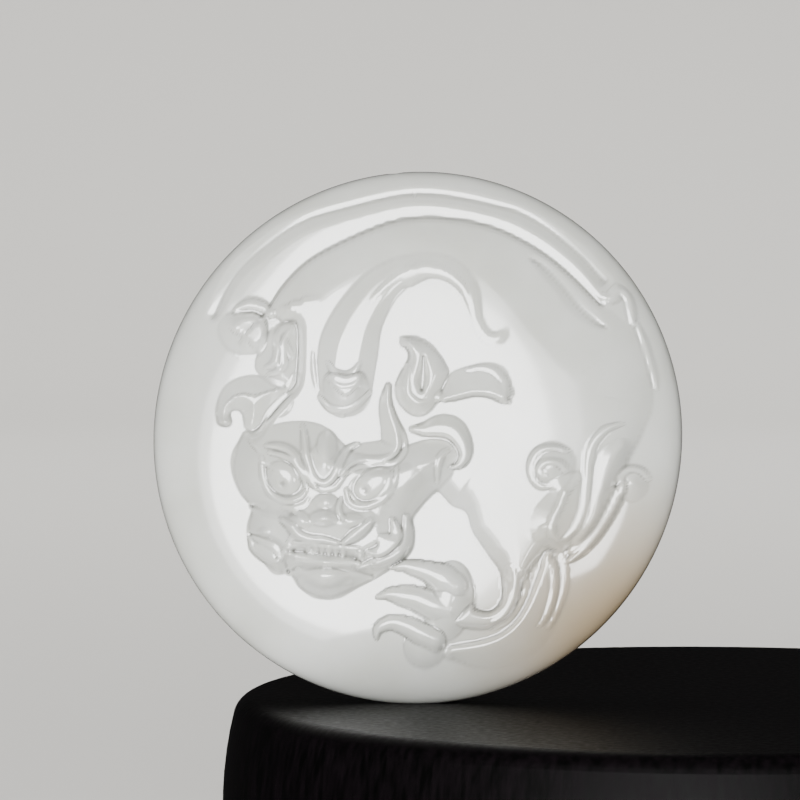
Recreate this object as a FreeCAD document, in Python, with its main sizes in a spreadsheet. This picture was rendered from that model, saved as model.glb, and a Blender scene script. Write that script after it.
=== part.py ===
import FreeCAD, Part
import Sketcher
import math
import os
from collections import namedtuple

# Round jade plaque with a mythical beast carved in relief, standing on a round wooden plinth.
# Frame: +Z up, +X to the right as the plaque is looked at, the carved face looks along -Y.
# Origin: centre of the plinth's underside.

doc = FreeCAD.newDocument("jade_plaque_on_plinth")

# driving dimensions in millimetres and degrees: alias, value, what it is
DIMENSIONS = [
    ("plaque_radius", 26.87, "mean radius of the plaque"),
    ("plaque_oval", 0.0069, "share by which the plaque is out of round"),
    ("plaque_oval_angle", 60.0, "direction of its longer axis, from the right"),
    ("plaque_front", 6.0, "height of the front dome over the rim's widest line"),
    ("plaque_back", 5.5, "depth of the plain back under that line"),
    ("plaque_power", 2.5, "power of the superellipse that both domes follow"),
    ("plaque_lean", 2.9, "backward lean of the plaque, degrees"),
    ("plaque_right", -30.2, "place of the plaque's centre along X"),
    ("plaque_behind", -6.0, "place of the plaque's foot along Y"),
    ("cord_hole_radius", 0.9, "radius of both runs of the cord hole"),
    ("cord_hole_right", -2.3, "place of the cord hole across the plaque"),
    ("cord_hole_depth", 5.0, "depth of the run from the top rim to where the two runs meet"),
    ("plinth_height", 22.0, "height of the plinth"),
    ("plinth_top_radius", 48.6, "radius of the plinth at its top"),
    ("plinth_belly_radius", 50.2, "radius of the plinth half way up"),
    ("plinth_edge", 2.2, "radius of the rounded edge round the top"),
    ("plinth_foot_edge", 1.0, "radius of the rounded edge round the foot"),
    ("seat_depth", 0.3, "depth of the shallow seat that the plaque's rim stands in"),
    ("seat_width", 4.4, "width of that seat, front to back"),
    ("seat_gap", 0.05, "gap between rim and seat"),
    ("prop_width", 8.0, "width of the rear prop"),
    ("prop_height", 19.0, "height of the rear prop"),
    ("prop_top", 2.5, "thickness of the rear prop at its top"),
    ("prop_foot", 11.0, "depth of the rear prop at its foot"),
    ("prop_gap", 0.15, "gap between the prop and the back of the plaque"),
]

sheet = doc.addObject("Spreadsheet::Sheet", "dimensions")
for row, (alias, value, note) in enumerate(DIMENSIONS, start=1):
    sheet.set("A%d" % row, note)
    sheet.set("B%d" % row, str(value))
    sheet.setAlias("B%d" % row, alias)
doc.recompute()


def size(alias):
    """Value of one driving dimension, read from the sheet."""
    return float(sheet.get(alias))


# Relief of the plaque's front. Places are (u, v) in mm from the plaque's centre, u right and v up.
# An area is a raised or sunk outline: its height grows from the outline inwards over the width "edge".
# A stroke is a ridge or groove along a smooth line; each point gives the width to its left and right.
# A bump is a round or oval swelling. A profile is the cross-section, a function of t, which is 0 at the
# spine, middle or inner end of the edge and 1 at the outer end. Join "add" adds to what is there,
# "over" keeps the higher of the two.
Shape = namedtuple("Shape", "name kind rise points profile join base steep turn")
RELIEF = []


def area(name, rise, points, profile="round", join="add", base=0.0):
    """Closed smooth outline; points are (u, v, edge)."""
    RELIEF.append(Shape(name, "area", rise, points, profile, join, base, False, 0.0))


def stroke(name, rise, points, profile="round", join="add", base=0.0, steep=False):
    """Ridge or groove; points are (u, v, width) or (u, v, left, right); steep makes rise per mm of width."""
    wide = [p if len(p) == 4 else (p[0], p[1], p[2], p[2]) for p in points]
    RELIEF.append(Shape(name, "stroke", rise, wide, profile, join, base, steep, 0.0))


def bump(name, rise, points, turn=0.0, profile="round", join="add", base=0.0):
    """Oval swelling; points holds one (u, v, half_length, half_width), turn is its angle in degrees."""
    RELIEF.append(Shape(name, "bump", rise, [points], profile, join, base, False, turn))


# The beast's body and limbs as one raised figure. Its edge is the width over which the side rises.
area("figure", 1.1, [
    (-17.6, 0.4, 3.0), (-18.4, -2.6, 3.0), (-18.1, -4.6, 3.0), (-17.2, -6.1, 2.5), (-16.6, -7.0, 2.5),
    (-16.9, -9.1, 2.5), (-16.4, -11.1, 2.5), (-15.4, -12.4, 2.5), (-14.2, -13.3, 2.2), (-12.9, -13.4, 2.2),
    (-11.7, -14.7, 2.6), (-10.2, -15.8, 2.8), (-8.5, -15.9, 2.8), (-6.0, -14.8, 2.6), (-4.2, -13.9, 2.2),
    (-2.6, -12.9, 1.8), (-1.2, -11.9, 1.6), (-0.6, -10.6, 1.8), (-0.7, -8.3, 2.2), (0.5, -6.5, 2.8),
    (1.8, -5.3, 3.2), (3.3, -6.7, 3.6), (4.7, -7.4, 4.0), (5.4, -9.4, 4.2), (6.9, -11.6, 3.8),
    (8.1, -13.2, 2.4), (8.5, -15.2, 0.7), (8.2, -16.6, 0.5), (7.1, -17.4, 0.5), (5.8, -17.2, 0.5),
    (5.2, -16.6, 0.6), (3.4, -17.6, 1.2), (3.2, -19.4, 1.2), (4.8, -20.0, 1.2),
    (7.4, -20.0, 1.4), (9.3, -18.9, 1.6), (10.6, -17.1, 1.6),
    (12.0, -14.2, 1.6), (13.4, -11.2, 2.0), (15.5, -11.5, 2.6), (18.5, -9.0, 3.0), (20.5, -5.0, 3.5),
    (22.8, -1.0, 4.5), (23.6, 4.0, 6.0), (22.5, 9.5, 7.5), (20.0, 12.2, 8.0), (18.3, 13.6, 8.5),
    (15.0, 16.6, 8.0), (12.0, 18.9, 6.8), (8.0, 20.95, 5.6), (4.0, 21.9, 4.6), (0.0, 22.1, 4.0),
    (-4.0, 21.2, 4.0), (-10.0, 18.4, 4.2), (-13.0, 15.9, 4.4), (-14.9, 13.0, 4.0), (-13.8, 11.8, 2.4),
    (-12.3, 11.4, 1.2), (-12.0, 9.0, 0.9), (-12.1, 6.2, 0.9), (-12.5, 4.9, 0.8), (-14.0, 3.2, 0.8),
    (-15.4, 1.6, 0.8), (-16.4, 0.8, 1.5)])

# Two sunk bands along the top rim, and the fold over the haunch.
stroke("band_outer", -0.42, [
    (-20.5, 12.3, 0.5, 0.6), (-18.3, 16.5, 0.6, 0.9), (-15.3, 19.3, 0.6, 1.1), (-11.9, 21.6, 0.6, 1.15),
    (-8.0, 23.0, 0.6, 1.15), (0.0, 24.6, 0.65, 1.1), (8.0, 23.35, 0.7, 1.1), (12.0, 21.7, 0.8, 1.1),
    (16.0, 18.6, 1.0, 1.0), (18.6, 15.8, 1.0, 0.9)], "sharp")
stroke("band_inner", -0.5, [
    (-16.2, 11.6, 3.4, 0.4), (-15.0, 13.1, 4.2, 0.4), (-13.0, 15.9, 3.4, 0.4),
    (-10.0, 18.4, 2.6, 0.4), (-4.0, 21.2, 1.9, 0.4),
    (0.0, 22.1, 1.45, 0.4), (4.0, 21.9, 1.35, 0.4), (8.0, 20.95, 1.2, 0.4), (12.0, 18.9, 1.3, 0.4),
    (15.0, 16.6, 1.2, 0.4), (18.3, 13.4, 0.5, 0.4)], "sharp")
stroke("shoulder_fold", -0.3, [
    (11.3, 18.0, 0.2), (12.6, 17.1, 0.7), (14.5, 15.1, 0.9), (16.2, 13.0, 0.9), (18.0, 11.5, 0.6),
    (18.9, 11.1, 0.2)], "sharp")

# Horn, curling up from the forehead and over to the right, with a knob at its root.
stroke("horn", 0.28, [
    (-7.25, 4.7, 2.75, 2.6), (-7.1, 7.5, 3.0, 2.9), (-6.65, 9.6, 3.1, 2.8), (-5.7, 12.0, 2.7, 2.3),
    (-4.0, 14.6, 2.2, 1.9), (-2.2, 16.0, 1.9, 1.5), (-1.0, 16.4, 1.85, 1.35), (0.8, 16.75, 1.7, 0.9),
    (2.5, 16.5, 1.75, 0.75), (3.8, 15.7, 1.6, 0.65), (4.9, 14.4, 1.2, 0.6), (5.5, 12.9, 0.7, 0.6),
    (5.9, 11.6, 0.5, 0.5), (6.6, 10.4, 0.5, 0.45), (7.6, 9.9, 0.55, 0.5), (8.35, 10.2, 0.5, 0.45),
    (8.7, 10.7, 0.15, 0.15)], "ramp", steep=True)
bump("horn_knob", 0.75, (-7.2, 5.0, 2.0, 1.9), profile="sharp")

# Right ear, a flame with a hollow.
area("ear_right", 0.9, [
    (-2.0, 9.65, 0.5), (-1.0, 10.0, 0.8), (0.5, 9.7, 1.5),
    (1.9, 8.6, 1.8), (2.8, 7.2, 1.8), (3.0, 6.3, 1.8),
    (2.3, 4.6, 1.8), (1.7, 3.3, 1.6), (0.5, 2.3, 1.6),
    (-0.9, 2.45, 1.6), (-2.1, 3.8, 1.8), (-2.3, 5.2, 1.8),
    (-1.8, 6.5, 1.6), (-0.95, 8.0, 1.0), (-1.2, 9.1, 0.5)])
stroke("ear_right_hollow", -0.5, [
    (0.5, 8.2, 0.25), (0.5, 6.9, 0.7), (0.4, 5.7, 0.9), (0.35, 4.9, 0.5)], "soft")

# Locks on the right: one beside the ear and a hook under it. Each rises to its lower edge.
stroke("lock_right", 0.85, [
    (2.6, 3.9, 1.0, 0.2), (3.6, 4.15, 2.3, 0.35), (5.5, 4.6, 2.7, 0.4), (7.2, 4.5, 3.0, 0.45),
    (8.2, 4.1, 1.6, 0.5), (8.5, 3.7, 0.5, 0.2)], "sharp")
stroke("mane_hook", 0.75, [
    (-0.6, 0.9, 0.3, 0.2), (0.6, 0.75, 0.9, 0.5), (2.0, 0.75, 1.6, 0.55), (3.2, 0.5, 1.7, 0.6),
    (4.1, -0.4, 1.3, 0.6), (4.5, -1.4, 0.9, 0.5), (4.3, -2.2, 0.7, 0.4), (3.9, -2.7, 0.35, 0.3),
    (3.4, -2.9, 0.15, 0.15)], "ramp")

# Left ear, cheek lock and the tail curl above them.
area("ear_left", 0.95, [
    (-12.1, 11.4, 0.8), (-13.3, 11.5, 1.2), (-14.6, 10.8, 1.8), (-15.7, 10.0, 2.2), (-16.2, 8.3, 2.3),
    (-16.2, 6.8, 2.3), (-15.2, 5.8, 2.2), (-13.6, 5.0, 2.0), (-12.5, 5.6, 2.0), (-12.1, 8.0, 2.0),
    (-11.9, 10.0, 1.6)], "sharp")
area("cheek_lock", 1.05, [
    (-13.0, 4.8, 1.0), (-14.0, 5.8, 2.2), (-16.3, 6.3, 2.6), (-18.0, 6.0, 2.6), (-19.3, 5.2, 2.3),
    (-20.0, 3.9, 1.6), (-20.2, 2.6, 1.2), (-20.05, 1.6, 0.8), (-19.6, 1.25, 0.5), (-19.0, 1.2, 0.4),
    (-18.7, 1.6, 0.5), (-18.8, 2.5, 1.0), (-18.2, 2.8, 1.4), (-17.6, 2.4, 1.6), (-17.3, 1.0, 2.0),
    (-16.5, 0.6, 2.0), (-15.7, 1.4, 2.0), (-14.6, 3.0, 1.6)], "sharp")
area("hair_leaf", 0.35, [
    (-12.3, 4.4, 0.6), (-13.4, 3.6, 0.8), (-14.5, 2.1, 0.6), (-13.4, 2.1, 0.8), (-12.6, 2.9, 0.8)], "sharp")
area("tail_curl", 1.0, [
    (-16.2, 8.3, 2.0), (-17.6, 8.25, 2.2), (-19.0, 8.9, 2.6), (-20.0, 10.4, 2.6), (-19.9, 11.8, 2.2),
    (-19.0, 12.5, 1.5), (-17.6, 12.7, 0.9), (-16.2, 12.6, 0.7), (-15.2, 11.6, 0.6), (-15.1, 10.2, 0.6),
    (-15.4, 9.0, 1.2)], "sharp")
stroke("tail_hook", 0.6, [
    (-14.6, 12.4, 0.3), (-15.6, 13.1, 0.6), (-16.8, 13.4, 0.65),
    (-17.8, 13.15, 0.4), (-18.4, 12.85, 0.1)], "sharp")

# Head: one mass that falls off to its outline, with the eyes, muzzle and jaw on it.
area("head", 1.55, [
    (-15.8, 0.9, 3.7), (-13.5, 1.6, 3.7), (-11.0, 1.7, 3.3),
    (-9.0, 1.0, 2.9), (-7.6, -0.4, 2.5), (-6.5, -1.3, 2.0),
    (-4.5, -1.7, 2.0), (-2.5, -1.4, 2.5), (-0.8, -0.6, 2.9),
    (1.2, -0.1, 3.3), (3.0, -0.3, 3.3), (3.9, -0.9, 3.3),
    (4.2, -1.9, 3.3), (3.6, -2.8, 3.3), (3.4, -3.6, 3.3),
    (1.8, -5.3, 3.4), (0.5, -6.6, 3.6), (-0.5, -8.2, 3.6),
    (-0.4, -10.6, 3.4), (-1.2, -11.9, 3.3), (-2.6, -12.9, 3.3), (-4.2, -13.9, 3.4), (-6.0, -14.9, 3.6),
    (-8.0, -16.0, 3.9), (-10.3, -16.0, 3.9), (-11.9, -14.9, 3.6), (-12.9, -13.6, 3.6), (-14.4, -13.6, 3.9),
    (-15.7, -12.1, 4.1), (-17.0, -10.0, 4.4), (-17.1, -8.6, 4.4), (-16.7, -6.9, 4.4), (-17.8, -5.6, 4.6),
    (-18.7, -3.2, 4.6), (-18.5, -1.2, 4.3), (-17.3, 0.3, 3.9)], "sharp")
stroke("jowl_crease", -0.35, [
    (-16.7, -6.8, 0.3), (-15.4, -7.0, 0.9), (-13.6, -7.4, 0.9), (-12.2, -7.6, 0.3)], "soft")
stroke("jaw_crease", -0.35, [
    (-16.8, -9.6, 0.2), (-15.4, -9.9, 0.5), (-14.0, -10.6, 0.6),
    (-13.4, -12.0, 0.6), (-13.0, -13.6, 0.2)], "soft")
bump("cheek_lens", 0.45, (-15.4, -11.0, 1.7, 0.8), turn=-32, profile="soft")
stroke("chin_crease", -0.35, [
    (-13.1, -13.4, 0.2), (-11.8, -12.9, 0.6), (-9.5, -12.9, 0.7),
    (-7.0, -13.0, 0.7), (-4.6, -13.7, 0.3)], "soft")
bump("chin", 0.5, (-9.2, -13.8, 2.4, 1.2), profile="soft")
stroke("jaw_right", 0.7, [
    (-6.0, -12.9, 0.2), (-4.4, -12.5, 0.7), (-2.6, -11.9, 0.8), (-1.3, -10.7, 0.8), (-1.05, -9.2, 0.7),
    (-1.2, -7.8, 0.3)], "soft")
area("jaw_pocket", -0.9, [
    (-2.8, -8.3, 0.5), (-3.9, -9.7, 0.5), (-5.1, -11.0, 0.5), (-3.8, -11.6, 0.5), (-2.4, -10.8, 0.5),
    (-1.8, -9.7, 0.5)], "ramp")
bump("cheek_right", 0.45, (-1.0, -3.9, 1.6, 1.5), profile="soft")

# Forehead tongue and brows. The brows are folded ridges over the eyes.
bump("tongue", 0.6, (-9.5, -2.4, 1.9, 2.6), profile="sharp")
bump("tongue_bead", 0.35, (-9.1, -1.6, 0.8, 1.4), profile="soft")
stroke("brow_right", 0.8, [
    (-3.0, 5.3, 0.2, 0.2), (-3.0, 3.6, 0.35, 0.9), (-2.6, 2.0, 0.45, 1.3), (-2.1, 0.5, 0.5, 1.7),
    (-2.1, -1.0, 0.5, 1.8), (-3.4, -2.0, 0.5, 1.9), (-5.6, -2.1, 0.5, 1.6), (-6.8, -2.6, 0.4, 1.0),
    (-7.6, -3.6, 0.2, 0.4)], "sharp")
stroke("brow_left", 0.45, [
    (-15.1, -0.7, 0.2), (-13.8, -0.8, 0.5), (-12.6, -1.4, 0.6), (-11.7, -2.8, 0.6), (-10.8, -4.2, 0.5),
    (-10.1, -4.9, 0.2)], "soft")

# Eyes: a sunk socket and the eyeball in it.
bump("socket_left", -0.75, (-13.4, -4.2, 2.6, 2.2), turn=-35, profile="soft")
bump("socket_right", -0.75, (-4.7, -4.8, 2.8, 1.9), turn=25, profile="soft")
bump("eyeball_left", 0.95, (-13.4, -4.1, 1.9, 1.6), turn=-35)
bump("eyeball_right", 0.95, (-4.7, -4.8, 2.2, 1.5), turn=30)

# Muzzle, nose, lips and the open mouth.
area("muzzle", 0.8, [
    (-13.2, -8.3, 1.8), (-12.0, -7.1, 2.0), (-10.6, -6.0, 2.2),
    (-9.2, -5.4, 2.4), (-7.8, -6.0, 2.2), (-6.4, -6.9, 2.0),
    (-4.6, -7.2, 1.8), (-4.0, -8.2, 1.8), (-5.4, -9.6, 1.9), (-7.2, -10.6, 2.2), (-9.4, -10.5, 2.4),
    (-11.6, -10.1, 2.1), (-13.1, -9.2, 1.8)], "sharp")
bump("nose_bridge", 0.4, (-9.2, -6.2, 1.3, 0.9), profile="soft")
bump("nose_tip", 0.75, (-9.4, -7.9, 1.6, 0.9), profile="soft")
bump("nostril_right", 0.55, (-6.6, -8.1, 1.4, 0.8), profile="soft")
stroke("lip_left", 0.6, [
    (-13.6, -8.1, 0.3), (-12.7, -8.7, 0.6), (-11.9, -9.6, 0.7), (-10.8, -10.0, 0.6), (-9.4, -10.1, 0.5),
    (-8.0, -10.4, 0.3)], "soft")
stroke("lip_right", 0.6, [
    (-4.6, -8.1, 0.3), (-5.4, -8.9, 0.7), (-6.4, -9.7, 0.7), (-7.4, -10.4, 0.4)], "soft")
stroke("mouth", -0.95, [
    (-13.0, -11.2, 0.3), (-11.0, -11.3, 0.7), (-9.0, -11.5, 0.75),
    (-7.0, -11.7, 0.7), (-5.8, -12.2, 0.3)], "soft")

# Paw with three clawed toes.
bump("paw", 1.5, (3.0, -16.3, 2.5, 4.1), turn=-8, join="over")
bump("pad", 1.2, (0.7, -20.9, 2.6, 2.6), join="over", base=-0.4)
stroke("toe_1", 0.62, [
    (3.6, -14.8, 1.3), (2.4, -14.0, 1.4), (1.0, -13.35, 1.0), (-0.2, -13.0, 0.75), (-1.4, -12.75, 0.5),
    (-2.7, -12.95, 0.1)], join="over", base=0.9, steep=True)
stroke("toe_2", 0.62, [
    (3.0, -17.2, 1.2), (1.6, -16.8, 1.35), (0.0, -16.1, 1.2), (-1.6, -15.75, 0.95), (-2.9, -15.6, 0.55),
    (-4.05, -15.9, 0.1)], join="over", base=0.8, steep=True)
stroke("toe_3", 0.62, [
    (1.6, -20.2, 1.1), (0.3, -19.6, 1.1), (-1.0, -18.9, 0.95), (-2.4, -18.45, 0.75), (-3.5, -18.7, 0.6),
    (-4.1, -19.3, 0.4), (-4.15, -20.15, 0.1)], join="over", base=0.7, steep=True)

# Spirals, leaf and tendrils on the right.
bump("spiral_left", 1.0, (13.2, -2.8, 2.4, 2.5), profile="sharp")
area("leaf", 0.85, [
    (13.3, -4.2, 1.6), (12.6, -5.5, 2.0), (11.3, -7.0, 2.2), (10.8, -8.7, 2.2), (11.3, -10.0, 2.0),
    (12.7, -10.6, 1.6), (13.7, -11.1, 1.4), (14.8, -10.2, 2.0), (15.9, -9.0, 2.4), (16.6, -7.0, 2.6),
    (16.8, -4.6, 2.6), (16.3, -3.4, 2.4), (15.2, -3.4, 2.0)], "sharp")
stroke("tendril_1", 0.42, [
    (20.3, -0.8, 1.0, 0.8), (19.4, -1.9, 1.8, 1.2), (18.7, -3.4, 2.0, 1.2), (18.2, -5.5, 1.9, 1.0),
    (17.6, -7.6, 1.6, 0.9), (16.3, -9.8, 1.1, 0.7), (15.2, -11.3, 0.4, 0.3)], "sharp")
bump("spiral_right", 0.7, (21.5, -4.5, 1.7, 1.9), profile="sharp")
stroke("tendril_2", 0.42, [
    (21.1, -6.0, 1.0, 0.5), (20.7, -7.4, 1.8, 0.9), (19.6, -9.4, 1.8, 1.0), (17.6, -11.3, 1.6, 0.8),
    (15.9, -12.5, 0.6, 0.3)], "sharp")
stroke("leaf_low", 0.65, [
    (12.9, -11.5, 0.2, 0.2), (12.6, -13.2, 1.9, 0.4), (11.9, -15.2, 2.8, 0.5), (11.0, -17.2, 3.3, 0.5),
    (9.8, -18.9, 3.4, 0.5), (8.2, -20.1, 3.0, 0.5),
    (6.0, -20.8, 2.4, 0.5), (3.4, -21.2, 1.0, 0.4)], "sharp")


PROFILES = {
    "round": lambda t: 1 - t * t,
    "soft": lambda t: (1 - t * t) ** 2,
    "sharp": lambda t: 1 - t,
    "ramp": lambda t: min(1.0, (1 - t) / 0.62),
}
SPLINE_STEPS = 4                 # straight steps for each span of a curve


def smooth_line(points, closed):
    """Points on the Catmull-Rom curve through a table of points, all columns alike."""
    count = len(points)
    if closed:
        ends = [points[-1]] + list(points) + list(points[:2])
    else:
        first = tuple(2 * a - b for a, b in zip(points[0], points[1]))
        last = tuple(2 * a - b for a, b in zip(points[-1], points[-2]))
        ends = [first] + list(points) + [last]
    spans = count if closed else count - 1
    line = []
    for i in range(spans):
        four = ends[i:i + 4]
        for k in range(SPLINE_STEPS):
            t = k / SPLINE_STEPS
            line.append(tuple(
                0.5 * (2 * b + (c - a) * t + (2 * a - 5 * b + 4 * c - d) * t ** 2
                       + (3 * b - a - 3 * c + d) * t ** 3)
                for a, b, c, d in zip(*four)))
    line.append(line[0] if closed else points[-1])
    return line


def nearest(u, v, line):
    """Distance to a line of points, the side it lies on (left is positive) and the other columns there."""
    best = (1e9, 1.0, ())
    for start, end in zip(line, line[1:]):
        run_u, run_v = end[0] - start[0], end[1] - start[1]
        t = ((u - start[0]) * run_u + (v - start[1]) * run_v) / (run_u * run_u + run_v * run_v + 1e-12)
        t = max(0.0, min(1.0, t))
        off_u, off_v = u - start[0] - t * run_u, v - start[1] - t * run_v
        distance = math.hypot(off_u, off_v)
        if distance < best[0]:
            side = 1.0 if run_u * off_v - run_v * off_u >= 0 else -1.0
            columns = tuple(max(0.0, a + t * (b - a)) for a, b in zip(start[2:], end[2:]))
            best = (distance, side, columns)
    return best


def is_inside(u, v, line):
    """True where a closed line of points goes round (u, v)."""
    crossings = 0
    for a, b in zip(line, line[1:]):
        if (a[1] > v) != (b[1] > v) and u < (b[0] - a[0]) * (v - a[1]) / (b[1] - a[1]) + a[0]:
            crossings += 1
    return crossings % 2 == 1


def shape_height(shape, line, u, v):
    """Height that one shape gives at (u, v), or None outside it."""
    profile = PROFILES[shape.profile]
    if shape.kind == "area":
        if not is_inside(u, v, line):
            return None
        distance, _, columns = nearest(u, v, line)
        return shape.rise * profile(max(0.0, 1 - distance / columns[0]))
    if shape.kind == "stroke":
        distance, side, columns = nearest(u, v, line)
        width = columns[0] if side > 0 else columns[1]
        if distance >= width:
            return None
        scale = (columns[0] + columns[1]) / 2 if shape.steep else 1.0
        return shape.rise * scale * profile(distance / width)
    mid_u, mid_v, half_length, half_width = shape.points[0]
    turn = math.radians(shape.turn)
    along = ((u - mid_u) * math.cos(turn) + (v - mid_v) * math.sin(turn)) / half_length
    across = ((v - mid_v) * math.cos(turn) - (u - mid_u) * math.sin(turn)) / half_width
    t = math.hypot(along, across)
    return shape.rise * profile(t) if t < 1 else None


def prepared(shapes):
    """Each shape with its smooth line and the box that it can reach."""
    result = []
    for shape in shapes:
        if shape.kind == "bump":
            line = [shape.points[0]]
            reach = max(shape.points[0][2:])
        else:
            line = smooth_line(shape.points, shape.kind == "area")
            reach = max(max(p[2:]) for p in line) if shape.kind == "stroke" else 0.0
        box = (min(p[0] for p in line) - reach, max(p[0] for p in line) + reach,
               min(p[1] for p in line) - reach, max(p[1] for p in line) + reach)
        result.append((shape, line, box))
    return result


def relief(u, v, shapes):
    """Height of the carving over the dome at (u, v)."""
    height = 0.0
    for shape, line, box in shapes:
        if not (box[0] <= u <= box[1] and box[2] <= v <= box[3]):
            continue
        rise = shape_height(shape, line, u, v)
        if rise is None:
            continue
        if shape.join == "add":
            height += rise
        else:
            height = max(height, shape.base + rise)
    return height


def rim_radius(angle):
    """Radius of the plaque's outline, a circle drawn slightly long in one direction."""
    turned = angle - math.radians(size("plaque_oval_angle"))
    return size("plaque_radius") * (1 + size("plaque_oval") * math.cos(2 * turned))


def dome(share, depth):
    """Height of a superellipse dome at a share 0 to 1 of the radius."""
    power = size("plaque_power")
    return depth * max(0.0, 1 - share ** power) ** (1 / power)


# Grid of the carved front: points along a side, the band round the beast's face where they are closer
# together, how many times closer, and how strongly the outermost ones crowd towards the rim.
GRID_COUNT = 84
FACE_BAND_U = (-20.0, 5.5)
FACE_BAND_V = (-17.5, 6.5)
FACE_DENSITY = 1.7
RIM_CROWDING = 12


def grid_places(band, reach):
    """Places from -1 to 1 along one side of the grid, closer together inside the face's band."""
    steps = 400
    total = 0.0
    sums = [0.0]
    for k in range(steps):
        place = reach * (2 * (k + 0.5) / steps - 1)
        total += FACE_DENSITY if band[0] < place < band[1] else 1.0
        sums.append(total)
    places = []
    k = 0
    for i in range(GRID_COUNT):
        goal = total * i / (GRID_COUNT - 1)
        while k < steps - 1 and sums[k + 1] < goal:
            k += 1
        places.append(2 * (k + (goal - sums[k]) / (sums[k + 1] - sums[k])) / steps - 1)
    return places


def disc_place(a, b):
    """Point of the disc for a point (a, b) of the square: share of the radius, and angle."""
    x = a * math.sqrt(1 - b * b / 2)
    y = b * math.sqrt(1 - a * a / 2)
    share = min(1.0, math.hypot(x, y))
    gain = 1 / (RIM_CROWDING - 1)
    crowded = (1 + gain) * share - gain * share ** RIM_CROWDING
    return crowded, math.atan2(y, x)


def plaque_mesh():
    """Vertices and triangles of the plaque: a square grid drawn out to the disc in front, rings behind.

    The plaque's own frame: u right, w backwards and v up, with the rim's widest line at w = 0.
    """
    shapes = prepared(RELIEF)
    reach = size("plaque_radius")
    across = grid_places(FACE_BAND_U, reach)
    upward = grid_places(FACE_BAND_V, reach)
    vertices = []
    triangles = []
    last = GRID_COUNT - 1
    for j, b in enumerate(upward):
        for i, a in enumerate(across):
            share, angle = disc_place(a, b)
            radius = share * rim_radius(angle)
            u, v = radius * math.cos(angle), radius * math.sin(angle)
            on_rim = i in (0, last) or j in (0, last)
            depth = 0.0 if on_rim else dome(share, size("plaque_front")) + relief(u, v, shapes)
            vertices.append((u, -depth, v))
    for j in range(last):
        for i in range(last):
            a = j * GRID_COUNT + i
            b, c, d = a + 1, a + GRID_COUNT + 1, a + GRID_COUNT
            if (i < last / 2) == (j < last / 2):
                triangles += [(a, b, d), (b, c, d)]
            else:
                triangles += [(a, b, c), (a, c, d)]
    ring = [i for i in range(GRID_COUNT)]
    ring += [j * GRID_COUNT + last for j in range(1, GRID_COUNT)]
    ring += [last * GRID_COUNT + i for i in range(last - 1, -1, -1)]
    ring += [j * GRID_COUNT for j in range(last - 1, 0, -1)]
    add_back(vertices, triangles, ring)
    return vertices, triangles


# rings of the plain back: share of the radius, and how many rim points one of its points stands for
BACK_RINGS = [(0.995, 2), (0.98, 4), (0.95, 4), (0.90, 4), (0.82, 8), (0.7, 8), (0.5, 8), (0.25, 16)]


def add_back(vertices, triangles, rim):
    """Closes the mesh behind the rim: each ring keeps every second point of the last one, or all."""
    outer = [(k, rim[k]) for k in range(len(rim))]
    for share, every in BACK_RINGS:
        inner = []
        for k in range(0, len(rim), every):
            u, _, v = vertices[rim[k]]
            inner.append((k, len(vertices)))
            vertices.append((u * share, dome(share, size("plaque_back")), v * share))
        join_rings(triangles, outer, inner, len(rim))
        outer = inner
    middle = len(vertices)
    vertices.append((0.0, size("plaque_back"), 0.0))
    for here, there in zip(outer, outer[1:] + outer[:1]):
        triangles.append((here[1], middle, there[1]))


def join_rings(triangles, outer, inner, count):
    """Triangles between two rings of (place round the rim, vertex)."""
    i = j = 0
    while i < len(outer) or j < len(inner):
        next_outer = outer[i + 1][0] if i + 1 < len(outer) else count
        next_inner = inner[j + 1][0] if j + 1 < len(inner) else count
        if j >= len(inner) or (i < len(outer) and next_outer <= next_inner):
            triangles.append((outer[i][1], inner[j % len(inner)][1], outer[(i + 1) % len(outer)][1]))
            i += 1
        else:
            triangles.append((outer[i % len(outer)][1], inner[j][1], inner[(j + 1) % len(inner)][1]))
            j += 1


def plaque_solid():
    """The plaque as one closed solid of flat facets."""
    vertices, triangles = plaque_mesh()
    shell = Part.Shape()
    points = [FreeCAD.Vector(*p) for p in vertices]
    shell.makeShapeFromMesh((points, triangles), 0.001)
    solid = Part.Solid(Part.Shell(shell.Faces))
    if solid.Volume < 0:
        solid.reverse()
    return solid


def bind(item, expressions):
    """Binds properties of one object to expressions over the sheet."""
    for name, expression in expressions.items():
        item.setExpression(name, expression)


def make_plaque():
    """Carved plaque with its cord hole: one run down from the top rim meets one from the back face."""
    stone = doc.addObject("Part::Feature", "stone")
    stone.Shape = plaque_solid()

    down = doc.addObject("Part::Cylinder", "cord_run_down")
    bind(down, {
        "Radius": "dimensions.cord_hole_radius",
        "Height": "dimensions.cord_hole_depth + 2",
        "Placement.Base.x": "dimensions.cord_hole_right",
        "Placement.Base.z": "dimensions.plaque_radius - dimensions.cord_hole_depth",
    })
    back = doc.addObject("Part::Cylinder", "cord_run_back")
    back.Placement = FreeCAD.Placement(
        FreeCAD.Vector(0, 0, 0), FreeCAD.Rotation(FreeCAD.Vector(1, 0, 0), -90))
    bind(back, {
        "Radius": "dimensions.cord_hole_radius",
        "Height": "dimensions.plaque_back + 2",
        "Placement.Base.x": "dimensions.cord_hole_right",
        "Placement.Base.z": "dimensions.plaque_radius - dimensions.cord_hole_depth",
    })
    runs = doc.addObject("Part::Fuse", "cord_hole")
    runs.Base = down
    runs.Tool = back
    runs.Refine = False
    plaque = doc.addObject("Part::Cut", "jade_plaque")
    plaque.Label = "jade_plaque"
    plaque.Base = stone
    plaque.Tool = runs
    plaque.Refine = False
    turn = FreeCAD.Rotation(FreeCAD.Vector(1, 0, 0), -size("plaque_lean"))
    plaque.Placement = FreeCAD.Placement(plaque_centre(), turn)
    return plaque


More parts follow.
